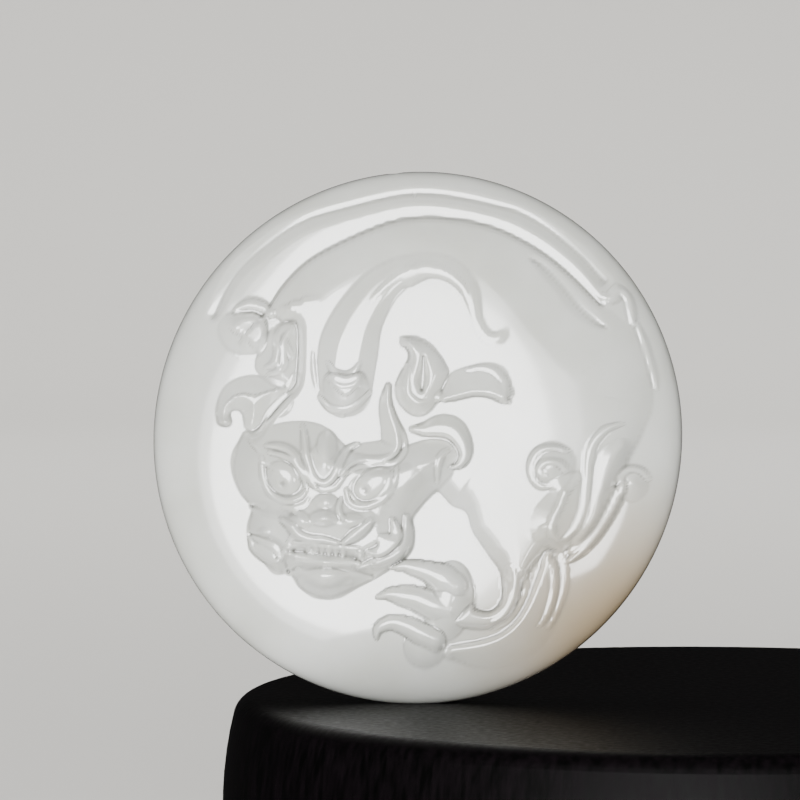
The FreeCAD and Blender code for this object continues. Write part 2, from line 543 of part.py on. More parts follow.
def foot_radius():
    """Radius of the plaque at the point that stands on the plinth."""
    return rim_radius(math.radians(270))


def plaque_centre():
    """Centre of the plaque, above its foot and behind it by the lean."""
    lean = math.radians(size("plaque_lean"))
    floor = size("plinth_height") - size("seat_depth") + size("seat_gap")
    return FreeCAD.Vector(
        size("plaque_right"),
        size("plaque_behind") + foot_radius() * math.sin(lean),
        floor + foot_radius() * math.cos(lean))


def origin_plane(body, role):
    """One of a body's own origin planes or axes."""
    return next(item for item in body.Origin.OriginFeatures if item.Role == role)




def make_plinth():
    """Turned plinth: flat top, rounded edges, side that swells to the middle, and the plaque's seat."""
    body = doc.addObject("PartDesign::Body", "plinth")
    body.Label = "plinth"
    sketch = body.newObject("Sketcher::SketchObject", "plinth_profile")
    sketch.AttachmentSupport = (origin_plane(body, "XZ_Plane"), [""])
    sketch.MapMode = "FlatFace"
    height, top = size("plinth_height"), size("plinth_top_radius")
    swell = size("plinth_belly_radius") - top
    side_radius = (height ** 2 / 4 + swell ** 2) / (2 * swell)
    half_angle = math.asin(height / 2 / side_radius)
    side_middle = FreeCAD.Vector(top + swell - side_radius, height / 2, 0)
    side_circle = Part.Circle(side_middle, FreeCAD.Vector(0, 0, 1), side_radius)
    corner = FreeCAD.Vector(top, 0, 0)
    lip = FreeCAD.Vector(top, height, 0)
    crown = FreeCAD.Vector(0, height, 0)
    sketch.addGeometry(Part.LineSegment(FreeCAD.Vector(0, 0, 0), corner), False)
    sketch.addGeometry(Part.ArcOfCircle(side_circle, -half_angle, half_angle), False)
    sketch.addGeometry(Part.LineSegment(lip, crown), False)
    sketch.addGeometry(Part.LineSegment(crown, FreeCAD.Vector(0, 0, 0)), False)
    for first, first_end, second, second_end in ((0, 2, 1, 1), (1, 2, 2, 1), (2, 2, 3, 1), (3, 2, 0, 1)):
        sketch.addConstraint(Sketcher.Constraint("Coincident", first, first_end, second, second_end))
    sketch.addConstraint(Sketcher.Constraint("Coincident", 0, 1, -1, 1))
    sketch.addConstraint(Sketcher.Constraint("Horizontal", 0))
    sketch.addConstraint(Sketcher.Constraint("Horizontal", 2))
    sketch.addConstraint(Sketcher.Constraint("Vertical", 3))
    measure(sketch, "foot", "DistanceX", (0, 1, 0, 2), top, "dimensions.plinth_top_radius")
    measure(sketch, "tall", "DistanceY", (0, 1, 2, 2), height, "dimensions.plinth_height")
    measure(sketch, "head", "DistanceX", (2, 2, 2, 1), top, "dimensions.plinth_top_radius")
    swell_words = "(dimensions.plinth_belly_radius - dimensions.plinth_top_radius)"
    side_words = "(dimensions.plinth_height ^ 2 / 4 + %s ^ 2) / (2 * %s)" % (swell_words, swell_words)
    measure(sketch, "side", "Radius", (1,), side_radius, side_words)

    turned = body.newObject("PartDesign::Revolution", "plinth_turned")
    turned.Profile = sketch
    turned.ReferenceAxis = (sketch, ["V_Axis"])
    turned.Angle = 360
    doc.recompute()

    top_edge = body.newObject("PartDesign::Fillet", "plinth_top_edge")
    top_edge.Base = (turned, [circle_edge(turned.Shape, size("plinth_height"))])
    bind(top_edge, {"Radius": "dimensions.plinth_edge"})
    doc.recompute()
    foot_edge = body.newObject("PartDesign::Fillet", "plinth_foot_edge")
    foot_edge.Base = (top_edge, [circle_edge(top_edge.Shape, 0.0)])
    bind(foot_edge, {"Radius": "dimensions.plinth_foot_edge"})
    doc.recompute()

    seat_sketch = body.newObject("Sketcher::SketchObject", "seat_profile")
    seat_sketch.AttachmentSupport = (origin_plane(body, "YZ_Plane"), [""])
    seat_sketch.MapMode = "FlatFace"
    bind(seat_sketch, {"AttachmentOffset.Base.z": "dimensions.plaque_right"})
    middle, half = size("plaque_behind"), size("seat_width") / 2
    axis_height = plaque_centre().z
    reach = axis_height - size("plinth_height") + size("seat_depth")
    corners = [
        (middle - half, axis_height), (middle - half, axis_height - reach),
        (middle + half, axis_height - reach), (middle + half, axis_height)]
    closed_outline(seat_sketch, corners)
    before = foot_edge.Shape.Volume
    seat = body.newObject("PartDesign::Groove", "plaque_seat")
    seat.Profile = seat_sketch
    seat.ReferenceAxis = (seat_sketch, ["Edge4"])
    seat.Angle = 360
    doc.recompute()
    if seat.Shape.Volume >= before:
        raise ValueError("the seat cuts nothing")
    return body


def circle_edge(shape, height):
    """Name of the full circle edge at one height, the widest if there are more."""
    found = []
    for number, edge in enumerate(shape.Edges, start=1):
        flat = abs(edge.BoundBox.ZMin - height) < 0.001 and abs(edge.BoundBox.ZMax - height) < 0.001
        if flat and edge.isClosed():
            found.append((edge.Length, "Edge%d" % number))
    return max(found)[1]


def measure(sketch, name, kind, places, value, expression):
    """Adds one driving measure to a sketch and binds it to the sheet."""
    number = sketch.addConstraint(Sketcher.Constraint(kind, *places, value))
    sketch.renameConstraint(number, name)
    sketch.setExpression("Constraints." + name, expression)


def closed_outline(sketch, corners):
    """Draws straight lines through the corners and back to the first."""
    points = [FreeCAD.Vector(x, y, 0) for x, y in corners]
    count = len(points)
    for k in range(count):
        sketch.addGeometry(Part.LineSegment(points[k], points[(k + 1) % count]), False)
    for k in range(count):
        sketch.addConstraint(Sketcher.Constraint("Coincident", k, 2, (k + 1) % count, 1))


def make_prop():
    """Plain wedge behind the plaque: its front leans back with the plaque, its foot stands on the plinth."""
    body = doc.addObject("PartDesign::Body", "rear_prop")
    body.Label = "rear_prop"
    sketch = body.newObject("Sketcher::SketchObject", "prop_profile")
    sketch.AttachmentSupport = (origin_plane(body, "YZ_Plane"), [""])
    sketch.MapMode = "FlatFace"
    bind(sketch, {"AttachmentOffset.Base.z": "dimensions.plaque_right"})
    lean = math.radians(size("plaque_lean"))
    foot = size("plaque_behind") + (size("plaque_back") + size("prop_gap")) / math.cos(lean)
    floor, tall = size("plinth_height"), size("prop_height")
    back = tall * math.tan(lean)
    corners = [
        (foot, floor), (foot + back, floor + tall),
        (foot + back + size("prop_top"), floor + tall), (foot + size("prop_foot"), floor)]
    closed_outline(sketch, corners)
    sketch.addConstraint(Sketcher.Constraint("Horizontal", 1))
    sketch.addConstraint(Sketcher.Constraint("Horizontal", 3))
    lean_words = "tan(dimensions.plaque_lean * 1deg)"
    foot_words = ("dimensions.plaque_behind + (dimensions.plaque_back + dimensions.prop_gap)"
                  " / cos(dimensions.plaque_lean * 1deg)")
    measure(sketch, "foot_height", "DistanceY", (-1, 1, 0, 1), floor, "dimensions.plinth_height")
    measure(sketch, "foot_place", "DistanceX", (0, 1), foot, foot_words)
    measure(sketch, "tall", "DistanceY", (0, 1, 0, 2), tall, "dimensions.prop_height")
    measure(sketch, "lean", "DistanceX", (0, 1, 0, 2), back, "dimensions.prop_height * " + lean_words)
    measure(sketch, "top", "DistanceX", (1, 1, 1, 2), size("prop_top"), "dimensions.prop_top")
    measure(sketch, "foot", "DistanceX", (0, 1, 3, 1), size("prop_foot"), "dimensions.prop_foot")
    pad = body.newObject("PartDesign::Pad", "prop_pad")
    pad.Profile = sketch
    pad.SideType = "Symmetric"
    bind(pad, {"Length": "dimensions.prop_width"})
    return body


PIECES = [make_plinth(), make_prop(), make_plaque()]
doc.recompute()
for item in doc.Objects:
    if "Invalid" in item.State or "Error" in item.State:
        raise ValueError("%s is %s" % (item.Name, item.State))

os.makedirs("parts", exist_ok=True)
for piece in PIECES:
    if piece.Shape.isNull() or not piece.Shape.isValid():
        raise ValueError("%s has no valid shape" % piece.Label)
    piece.Shape.exportStep("parts/%s.step" % piece.Label)
    box = piece.Shape.BoundBox
    print("%s %.1f mm3, X %.2f..%.2f Y %.2f..%.2f Z %.2f..%.2f" % (
        piece.Label, piece.Shape.Volume, box.XMin, box.XMax, box.YMin, box.YMax, box.ZMin, box.ZMax))
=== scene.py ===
import math
from collections import namedtuple

import bpy
import numpy as np
from mathutils import Matrix, Vector


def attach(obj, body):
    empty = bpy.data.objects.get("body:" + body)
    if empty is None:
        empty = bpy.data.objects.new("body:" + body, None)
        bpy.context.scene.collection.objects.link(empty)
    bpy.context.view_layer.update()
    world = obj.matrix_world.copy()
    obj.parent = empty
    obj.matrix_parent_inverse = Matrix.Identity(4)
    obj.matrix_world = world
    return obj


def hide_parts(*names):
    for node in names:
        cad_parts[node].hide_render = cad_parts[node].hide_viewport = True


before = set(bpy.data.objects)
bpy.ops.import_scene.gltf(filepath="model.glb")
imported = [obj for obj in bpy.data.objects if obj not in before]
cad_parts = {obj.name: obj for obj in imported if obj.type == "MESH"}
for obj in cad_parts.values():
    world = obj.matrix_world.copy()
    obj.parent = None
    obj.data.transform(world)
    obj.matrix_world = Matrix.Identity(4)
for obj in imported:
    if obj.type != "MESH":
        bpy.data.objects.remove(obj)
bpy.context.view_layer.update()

# Round white jade plaque with a mythical beast carved in relief, on a turned ebony plinth.
# The plaque's lengths are millimetres in its own frame (u right, w backwards, v up) until its mesh is
# written. The stage, the camera and the lights are in metres.
MM = 0.001
PLAQUE_RADIUS = 26.87        # mean radius of the outline
PLAQUE_OVAL = 0.0069         # share by which the outline is out of round
PLAQUE_OVAL_ANGLE = 60.0     # direction of its longer axis
PLAQUE_FRONT = 6.0           # height of the front dome over the rim's widest line
PLAQUE_BACK = 5.5            # depth of the plain back
PLAQUE_POWER = 2.5           # power of the superellipse that both domes follow
PLAQUE_LEAN = 2.9            # backward lean, degrees
PLAQUE_RIGHT = -30.2         # place of the plaque's centre along X
PLAQUE_BEHIND = -6.0         # place of the plaque's foot along Y
PLINTH_TOP = 22.0            # height of the plinth
SEAT_DEPTH = 0.3             # depth of the seat that the rim stands in
SEAT_GAP = 0.05              # gap between the rim and the seat
CORD_HOLE_RADIUS = 0.9
CORD_HOLE_RIGHT = -2.3       # place of the cord hole across the plaque
CORD_HOLE_DEPTH = 5.0        # depth of the run from the top rim to where the two runs meet

# Relief of the plaque's front. Places are (u, v) in mm from the plaque's centre, u right and v up.
# An area is a raised or sunk outline: its height grows from the outline inwards over the width "edge".
# A stroke is a ridge or groove along a smooth line; each point gives the width to its left and right.
# A bump is a round or oval swelling. A profile is the cross-section, a function of t, which is 0 at the
# spine, middle or inner end of the edge and 1 at the outer end. Join "add" adds to what is there, "over"
# keeps the higher of that and the shape itself, which then stands on the height "base".
Shape = namedtuple("Shape", "name kind rise points profile join base steep turn")
RELIEF = []


def area(name, rise, points, profile="round", join="add", base=0.0):
    """Closed smooth outline; points are (u, v, edge)."""
    RELIEF.append(Shape(name, "area", rise, points, profile, join, base, False, 0.0))


def stroke(name, rise, points, profile="round", join="add", base=0.0, steep=False):
    """Ridge or groove; points are (u, v, width) or (u, v, left, right).

    A steep one's rise is multiplied by its width, in mm.
    """
    wide = [p if len(p) == 4 else (p[0], p[1], p[2], p[2]) for p in points]
    RELIEF.append(Shape(name, "stroke", rise, wide, profile, join, base, steep, 0.0))


def bump(name, rise, points, turn=0.0, profile="round", join="add", base=0.0):
    """Oval swelling; points holds one (u, v, half_length, half_width), turn is its angle in degrees."""
    RELIEF.append(Shape(name, "bump", rise, [points], profile, join, base, False, turn))


# The beast's body and limbs as one raised figure. Its edge is the width over which the side rises.
area("figure", 1.1, [
    (-17.6, 0.4, 3.0), (-18.4, -2.6, 3.0), (-18.1, -4.6, 3.0), (-17.2, -6.1, 2.5), (-16.6, -7.0, 2.5),
    (-16.9, -9.1, 2.5), (-16.4, -11.1, 2.5), (-15.4, -12.4, 2.5), (-14.2, -13.3, 2.2), (-12.9, -13.4, 2.2),
    (-11.7, -14.7, 2.6), (-10.2, -15.8, 2.8), (-8.5, -15.9, 2.8), (-6.0, -14.8, 2.6), (-4.2, -13.9, 2.2),
    (-2.6, -12.9, 1.8), (-1.2, -11.9, 1.6), (-0.6, -10.6, 1.8), (-0.7, -8.3, 2.2), (0.5, -6.5, 2.8),
    (1.8, -5.3, 3.2), (3.3, -6.7, 3.6), (4.7, -7.4, 4.0), (5.4, -9.4, 4.2), (6.9, -11.6, 3.8),
    (8.1, -13.2, 2.4), (8.5, -15.2, 0.7), (8.2, -16.6, 0.5), (7.1, -17.4, 0.5), (5.8, -17.2, 0.5),
    (5.2, -16.6, 0.6), (3.4, -17.6, 1.2), (3.1, -18.8, 1.0), (4.6, -19.0, 0.8),
    (7.0, -19.1, 0.8), (8.9, -18.1, 0.8), (10.0, -16.4, 0.8),
    (10.9, -13.7, 0.9), (12.9, -11.2, 1.6), (14.6, -11.3, 1.4), (17.4, -9.3, 1.4), (19.3, -5.8, 1.6),
    (21.2, -2.0, 2.4), (22.6, 0.8, 4.0), (23.6, 4.0, 6.0), (22.5, 9.5, 7.5), (20.0, 12.2, 8.0),
    (18.3, 13.6, 8.5),
    (15.0, 16.6, 8.0), (12.0, 18.9, 6.8), (8.0, 20.95, 5.6), (4.0, 21.9, 4.6), (0.0, 22.1, 4.0),
    (-4.0, 21.2, 4.0), (-10.0, 18.4, 4.2), (-13.0, 15.9, 4.4), (-14.9, 13.0, 4.0), (-13.8, 11.8, 2.4),
    (-12.3, 11.4, 1.2), (-12.0, 9.0, 0.9), (-12.1, 6.2, 0.9), (-12.5, 4.9, 0.8), (-14.0, 3.2, 0.8),
    (-15.4, 1.6, 0.8), (-16.4, 0.8, 1.5)])

# Steps that leave two bands along the top rim, the fold over the shoulder, and the curl and sliver where
# the bands end at the right.
stroke("band_outer", -0.42, [
    (-20.5, 12.3, 0.9, 0.6), (-18.3, 16.5, 1.1, 0.9), (-15.3, 19.3, 1.0, 1.1), (-11.9, 21.6, 0.85, 1.15),
    (-8.0, 23.0, 0.6, 1.15), (0.0, 24.6, 0.65, 1.1), (8.0, 23.35, 0.7, 1.1), (12.0, 21.7, 0.8, 1.1),
    (16.0, 18.6, 1.0, 1.0), (18.6, 15.8, 1.0, 0.9)], "sharp")
stroke("band_inner", -0.5, [
    (-16.2, 11.6, 3.4, 0.3), (-15.0, 13.1, 4.2, 0.3), (-13.0, 15.9, 3.4, 0.3),
    (-10.0, 18.4, 2.6, 0.3), (-4.0, 21.2, 1.9, 0.3),
    (0.0, 22.1, 1.45, 0.3), (4.0, 21.9, 1.35, 0.3), (8.0, 20.95, 1.2, 0.3), (12.0, 18.9, 1.3, 0.3),
    (15.0, 16.6, 1.2, 0.3), (18.3, 13.4, 0.5, 0.3)], "sharp")
stroke("shoulder_fold", -0.3, [
    (11.3, 18.0, 0.2), (12.6, 17.1, 0.7), (14.5, 15.1, 0.9), (16.2, 13.0, 0.9), (18.0, 11.5, 0.6),
    (18.9, 11.1, 0.2)], "sharp")
stroke("rim_curl", 0.3, [
    (18.6, 14.2, 0.2), (19.5, 14.2, 0.5), (20.2, 14.9, 0.5),
    (21.1, 14.3, 0.5), (21.5, 12.9, 0.5), (21.6, 11.7, 0.3)])
stroke("rim_sliver", 0.3, [
    (22.1, 11.4, 0.2), (22.7, 9.8, 0.5), (23.2, 8.2, 0.5), (23.7, 6.4, 0.4), (24.0, 5.0, 0.1)], "sharp")

# Horn, curling up from a cup-shaped root and over to the right.
stroke("horn", 0.28, [
    (-7.25, 4.7, 2.75, 2.6), (-7.1, 7.5, 3.0, 2.9), (-6.65, 9.6, 3.1, 2.8), (-5.7, 12.0, 2.7, 2.3),
    (-4.0, 14.6, 2.2, 1.9), (-2.2, 16.0, 1.9, 1.5), (-1.0, 16.4, 1.85, 1.35), (0.8, 16.75, 1.7, 0.9),
    (2.5, 16.5, 1.75, 0.75), (3.8, 15.7, 1.6, 0.65), (4.9, 14.4, 1.2, 0.6), (5.5, 12.9, 0.7, 0.6),
    (5.9, 11.6, 0.5, 0.5), (6.6, 10.4, 0.5, 0.45), (7.6, 9.9, 0.55, 0.5), (8.35, 10.2, 0.5, 0.45),
    (8.7, 10.7, 0.15, 0.15)], "ramp", steep=True)
stroke("horn_face", 0.2, [
    (-4.6, 13.9, 0.1, 0.1), (-3.0, 15.6, 0.15, 0.7), (-1.2, 16.85, 0.15, 1.0), (0.8, 17.3, 0.15, 1.05),
    (2.6, 16.9, 0.15, 0.95), (4.0, 15.85, 0.15, 0.6), (4.9, 14.7, 0.1, 0.2)], "sharp")
area("horn_cup", 0.95, [
    (-9.0, 6.5, 0.3), (-7.2, 6.3, 0.3), (-5.6, 6.5, 0.3), (-4.9, 5.0, 2.0), (-5.6, 3.2, 2.8),
    (-7.2, 2.4, 3.0), (-8.8, 3.2, 2.8), (-9.5, 5.0, 2.0)], "sharp")
stroke("horn_ring", 0.22, [
    (-9.0, 7.6, 0.1), (-8.4, 6.7, 0.4), (-7.3, 6.3, 0.5), (-6.4, 6.7, 0.4), (-5.8, 7.6, 0.1)], "soft")
stroke("horn_ring_low", 0.14, [
    (-9.1, 6.2, 0.1), (-8.2, 5.4, 0.25), (-7.3, 5.2, 0.25), (-6.4, 5.4, 0.25), (-5.6, 6.2, 0.1)], "soft")
stroke("horn_foot", 0.22, [
    (-9.9, 4.1, 0.15), (-9.0, 3.2, 0.35), (-8.2, 2.9, 0.4), (-7.2, 2.85, 0.4), (-6.0, 3.4, 0.35),
    (-4.8, 4.6, 0.15)], "soft")
stroke("horn_side_line", 0.14, [
    (-10.55, 8.6, 0.1), (-10.45, 7.0, 0.3), (-10.3, 5.8, 0.3), (-10.1, 4.8, 0.1)], "soft")

# Right ear, a flame with a hollow.
area("ear_right", 0.9, [
    (-2.0, 9.65, 0.5), (-1.0, 10.0, 0.8), (0.5, 9.7, 1.5),
    (1.9, 8.6, 1.8), (2.8, 7.2, 1.8), (3.0, 6.3, 1.8),
    (2.3, 4.6, 1.8), (1.7, 3.3, 1.6), (0.5, 2.3, 1.6),
    (-0.9, 2.45, 1.6), (-2.1, 3.8, 1.8), (-2.3, 5.2, 1.8),
    (-1.8, 6.5, 1.6), (-0.95, 8.0, 1.0), (-1.2, 9.1, 0.5)])
stroke("ear_right_hollow", -0.5, [
    (0.5, 8.2, 0.25), (0.5, 6.9, 0.7), (0.4, 5.7, 0.9), (0.35, 4.9, 0.5)], "soft")
stroke("ear_right_fold", 0.2, [
    (-0.8, 7.2, 0.1), (-1.1, 5.6, 0.4), (-1.0, 4.4, 0.45), (-0.1, 3.6, 0.45), (0.8, 3.7, 0.1)], "soft")

# Locks on the right: one beside the ear and a hook under it. Each rises to its lower edge.
stroke("lock_right", 0.85, [
    (2.6, 3.9, 1.0, 0.2), (3.6, 4.15, 2.3, 0.35), (5.5, 4.6, 2.7, 0.4), (7.2, 4.5, 3.0, 0.45),
    (8.2, 4.1, 1.6, 0.5), (8.5, 3.7, 0.5, 0.2)], "sharp")
stroke("lock_right_line", 0.2, [
    (4.8, 6.85, 0.1), (6.4, 7.1, 0.3), (7.6, 6.75, 0.35),
    (8.5, 5.8, 0.35), (8.75, 4.8, 0.3), (8.4, 3.9, 0.1)], "soft")
stroke("mane_hook", 0.75, [
    (-0.6, 0.9, 0.3, 0.2), (0.6, 0.75, 0.9, 0.5), (2.0, 0.75, 1.6, 0.55), (3.2, 0.5, 1.7, 0.6),
    (4.1, -0.4, 1.3, 0.6), (4.5, -1.4, 0.9, 0.5), (4.3, -2.2, 0.7, 0.4), (3.9, -2.7, 0.35, 0.3),
    (3.4, -2.9, 0.15, 0.15)], "ramp")

# Left ear, cheek lock and the tail curl above them.
area("ear_left", 0.95, [
    (-12.1, 11.4, 0.8), (-13.3, 11.5, 1.2), (-14.6, 10.8, 1.8), (-15.7, 10.0, 2.2), (-16.2, 8.3, 2.3),
    (-16.2, 6.8, 2.3), (-15.2, 5.8, 2.2), (-13.6, 5.0, 2.0), (-12.5, 5.6, 2.0), (-12.1, 8.0, 2.0),
    (-11.9, 10.0, 1.6)], "sharp")
stroke("ear_left_line_1", 0.2, [
    (-12.3, 11.4, 0.15), (-13.5, 11.1, 0.4), (-14.1, 10.2, 0.4), (-14.15, 8.4, 0.4), (-14.6, 7.4, 0.4),
    (-15.3, 7.1, 0.15)], "soft")
stroke("ear_left_line_2", 0.2, [
    (-13.6, 10.0, 0.1), (-13.4, 8.6, 0.35), (-13.4, 7.4, 0.4),
    (-14.0, 6.7, 0.35), (-15.0, 6.4, 0.1)], "soft")
stroke("ear_left_line_3", 0.2, [
    (-13.4, 10.1, 0.1), (-13.1, 9.0, 0.3), (-12.7, 8.1, 0.3)], "soft")
stroke("ear_left_line_4", 0.15, [
    (-12.4, 6.4, 0.1), (-12.8, 5.4, 0.35), (-13.3, 4.7, 0.1)], "soft")
area("cheek_lock", 1.05, [
    (-13.0, 4.8, 1.0), (-14.0, 5.8, 2.2), (-16.3, 6.3, 2.6), (-18.0, 6.0, 2.6), (-19.3, 5.2, 2.3),
    (-20.0, 3.9, 1.6), (-20.2, 2.6, 1.2), (-20.05, 1.6, 0.8), (-19.6, 1.25, 0.5), (-19.0, 1.2, 0.4),
    (-18.7, 1.6, 0.5), (-18.8, 2.5, 1.0), (-18.2, 2.8, 1.4), (-17.6, 2.4, 1.6), (-17.3, 1.0, 2.0),
    (-16.5, 0.6, 2.0), (-15.7, 1.4, 2.0), (-14.6, 3.0, 1.6)], "sharp")
stroke("hair_line", 0.2, [
    (-12.2, 5.1, 0.1), (-13.4, 4.1, 0.35), (-14.8, 2.6, 0.35), (-15.7, 1.0, 0.1)], "soft")
area("hair_leaf", 0.35, [
    (-12.3, 4.4, 0.6), (-13.4, 3.6, 0.8), (-14.5, 2.1, 0.6), (-13.4, 2.1, 0.8), (-12.6, 2.9, 0.8)], "sharp")
area("tail_curl", 1.0, [
    (-16.2, 8.3, 2.0), (-17.6, 8.25, 2.2), (-19.0, 8.9, 2.6), (-20.0, 10.4, 2.6), (-19.9, 11.8, 2.2),
    (-19.0, 12.5, 1.5), (-17.6, 12.7, 0.9), (-16.2, 12.6, 0.7), (-15.2, 11.6, 0.6), (-15.1, 10.2, 0.6),
    (-15.4, 9.0, 1.2)], "sharp")
stroke("tail_hook", 0.6, [
    (-14.6, 12.4, 0.3), (-15.6, 13.1, 0.6), (-16.8, 13.4, 0.65),
    (-17.8, 13.15, 0.4), (-18.4, 12.85, 0.1)], "sharp")

# Head: one mass that falls off to its outline, with the eyes, muzzle and jaw on it.
area("head", 1.55, [
    (-15.8, 0.9, 3.7), (-13.5, 1.6, 3.7), (-11.0, 1.7, 3.3),
    (-9.0, 1.0, 2.9), (-7.6, -0.4, 2.5), (-6.5, -1.3, 2.0),
    (-4.5, -1.7, 2.0), (-2.5, -1.4, 2.1), (-0.8, -0.6, 2.2),
    (1.2, -0.1, 2.4), (3.0, -0.3, 2.6), (3.9, -0.9, 2.6),
    (4.2, -1.9, 2.6), (3.6, -2.8, 2.6), (3.4, -3.6, 2.6),
    (1.8, -5.3, 2.6), (0.5, -6.6, 2.8), (-0.5, -8.2, 3.6),
    (-0.4, -10.6, 3.4), (-1.2, -11.9, 3.3), (-2.6, -12.9, 3.3), (-4.2, -13.9, 3.4), (-6.0, -14.9, 3.6),
    (-8.0, -16.0, 3.9), (-10.3, -16.0, 3.9), (-11.9, -14.9, 3.6), (-12.9, -13.6, 3.6), (-14.4, -13.6, 3.9),
    (-15.7, -12.1, 4.1), (-17.0, -10.0, 4.4), (-17.1, -8.6, 4.4), (-16.7, -6.9, 4.4), (-17.8, -5.6, 4.6),
    (-18.7, -3.2, 4.6), (-18.5, -1.2, 4.3), (-17.3, 0.3, 3.9)], "sharp")
stroke("jowl_crease", -0.35, [
    (-16.7, -6.8, 0.3), (-15.4, -7.0, 0.9), (-13.6, -7.4, 0.9), (-12.2, -7.6, 0.3)], "soft")
stroke("jaw_crease", -0.35, [
    (-16.8, -9.6, 0.2), (-15.4, -9.9, 0.5), (-14.0, -10.6, 0.6),
    (-13.4, -12.0, 0.6), (-13.0, -13.6, 0.2)], "soft")
stroke("cheek_lens", 0.6, [
    (-16.9, -10.0, 0.2, 0.1), (-16.5, -11.1, 0.9, 0.3), (-15.4, -12.1, 1.15, 0.3), (-14.3, -12.4, 0.9, 0.3),
    (-13.8, -12.1, 0.2, 0.1)], "sharp")
bump("cheek_spot", 0.3, (-15.4, -9.4, 0.8, 0.6), profile="soft")
stroke("chin_crease", -0.35, [
    (-13.1, -13.4, 0.2), (-11.8, -12.9, 0.6), (-9.5, -12.9, 0.7),
    (-7.0, -13.0, 0.7), (-4.6, -13.7, 0.3)], "soft")
bump("chin", 0.8, (-9.3, -14.3, 2.8, 1.4))
stroke("jaw_right", 0.7, [
    (-6.0, -12.9, 0.2), (-4.4, -12.5, 0.7), (-2.6, -11.9, 0.8), (-1.3, -10.7, 0.8), (-1.05, -9.2, 0.7),
    (-1.2, -7.8, 0.3)], "soft")
stroke("jaw_facet", 0.8, [
    (-2.5, -8.1, 0.15, 0.3), (-1.8, -9.6, 0.3, 1.5), (-2.5, -10.8, 0.3, 2.0), (-3.8, -11.6, 0.3, 1.6),
    (-4.9, -11.4, 0.15, 0.4)], "sharp")
stroke("jaw_tusk", 0.42, [
    (-4.8, -12.4, 0.2, 0.1), (-4.0, -12.9, 0.8, 0.3), (-2.6, -12.4, 0.9, 0.3), (-1.4, -11.5, 0.7, 0.3),
    (-1.0, -10.9, 0.2, 0.1)], "sharp")
bump("cheek_right", 0.2, (-1.1, -3.9, 1.5, 1.4))
stroke("cheek_right_line", 0.35, [
    (3.2, -1.0, 0.1), (2.4, -1.6, 0.4), (2.0, -2.8, 0.4), (1.9, -4.4, 0.1)], "soft")

# Forehead tongue and brows. The brows are folded ridges over the eyes.
stroke("tongue_edge", 0.4, [
    (-11.5, 1.3, 0.1), (-11.3, 0.0, 0.4), (-11.1, -2.0, 0.5), (-10.4, -3.9, 0.55), (-9.4, -4.5, 0.55),
    (-8.4, -3.8, 0.55), (-7.6, -2.0, 0.5), (-6.9, -1.0, 0.4), (-6.0, -0.5, 0.1)], "soft")
stroke("tongue_fold", 0.25, [
    (-10.4, -4.8, 0.1), (-9.4, -5.1, 0.4), (-8.3, -4.8, 0.4), (-7.6, -4.0, 0.3), (-7.0, -3.3, 0.1)], "soft")
bump("tongue", 0.6, (-9.3, -2.6, 1.8, 2.3), profile="sharp")
bump("tongue_bead", 0.5, (-9.1, -0.7, 1.0, 1.5))
stroke("brow_right", 0.8, [
    (-3.0, 5.3, 0.2, 0.2), (-3.0, 3.6, 0.35, 0.9), (-2.6, 2.0, 0.45, 1.3), (-2.1, 0.5, 0.5, 1.7),
    (-2.1, -1.0, 0.5, 1.8), (-3.4, -2.0, 0.5, 1.9), (-5.6, -2.1, 0.5, 1.6), (-6.8, -2.6, 0.4, 1.0),
    (-7.6, -3.6, 0.2, 0.4)], "sharp")
stroke("brow_right_line", 0.25, [
    (-2.7, 3.0, 0.1), (-2.1, 1.5, 0.3), (-1.5, 0.2, 0.35), (-1.4, -1.2, 0.35), (-2.4, -2.3, 0.35),
    (-4.2, -2.5, 0.35), (-6.0, -2.8, 0.35), (-7.3, -3.6, 0.1)], "soft")
stroke("brow_left", 0.45, [
    (-15.1, -0.7, 0.2), (-13.8, -0.8, 0.5), (-12.6, -1.4, 0.6), (-11.7, -2.8, 0.6), (-10.8, -4.2, 0.5),
    (-10.1, -4.9, 0.2)], "soft")
stroke("brow_left_line", 0.3, [
    (-14.8, -1.4, 0.1), (-13.4, -1.7, 0.35), (-12.4, -2.4, 0.4),
    (-11.6, -3.8, 0.3), (-11.1, -4.8, 0.1)], "soft")

# Eyes: a sunk socket, the eyeball, a lid line round it and the drilled pupil.
bump("socket_left", -0.75, (-13.4, -4.2, 2.6, 2.2), turn=-35, profile="soft")
bump("socket_right", -0.75, (-4.7, -4.8, 2.8, 1.9), turn=25, profile="soft")
bump("eyeball_left", 1.2, (-13.4, -3.95, 1.9, 1.6), turn=-35)
bump("eyeball_right", 1.3, (-4.4, -4.55, 2.2, 1.5), turn=30)
stroke("lid_left", 0.3, [
    (-15.6, -1.9, 0.15), (-15.5, -3.6, 0.4), (-14.8, -5.4, 0.4), (-13.3, -6.2, 0.4), (-11.8, -5.9, 0.35),
    (-11.0, -5.0, 0.1)], "soft")
stroke("lid_right", 0.3, [
    (-2.1, -2.9, 0.15), (-2.4, -4.4, 0.4), (-3.4, -5.9, 0.4), (-5.2, -6.8, 0.4), (-6.7, -6.4, 0.4),
    (-7.2, -5.0, 0.15)], "soft")
stroke("lid_right_line", 0.2, [
    (-2.6, -3.4, 0.1), (-3.1, -5.0, 0.3), (-4.4, -6.2, 0.3), (-5.8, -6.4, 0.3), (-6.8, -5.4, 0.1)], "soft")
bump("pupil_left", -0.26, (-13.5, -4.5, 0.6, 0.6), profile="soft")
bump("pupil_right", -0.22, (-5.3, -5.1, 0.6, 0.6), profile="soft")
stroke("bag_left", 0.15, [
    (-13.5, -6.9, 0.1), (-12.3, -6.9, 0.35), (-11.3, -6.5, 0.35), (-10.8, -5.8, 0.1)], "soft")

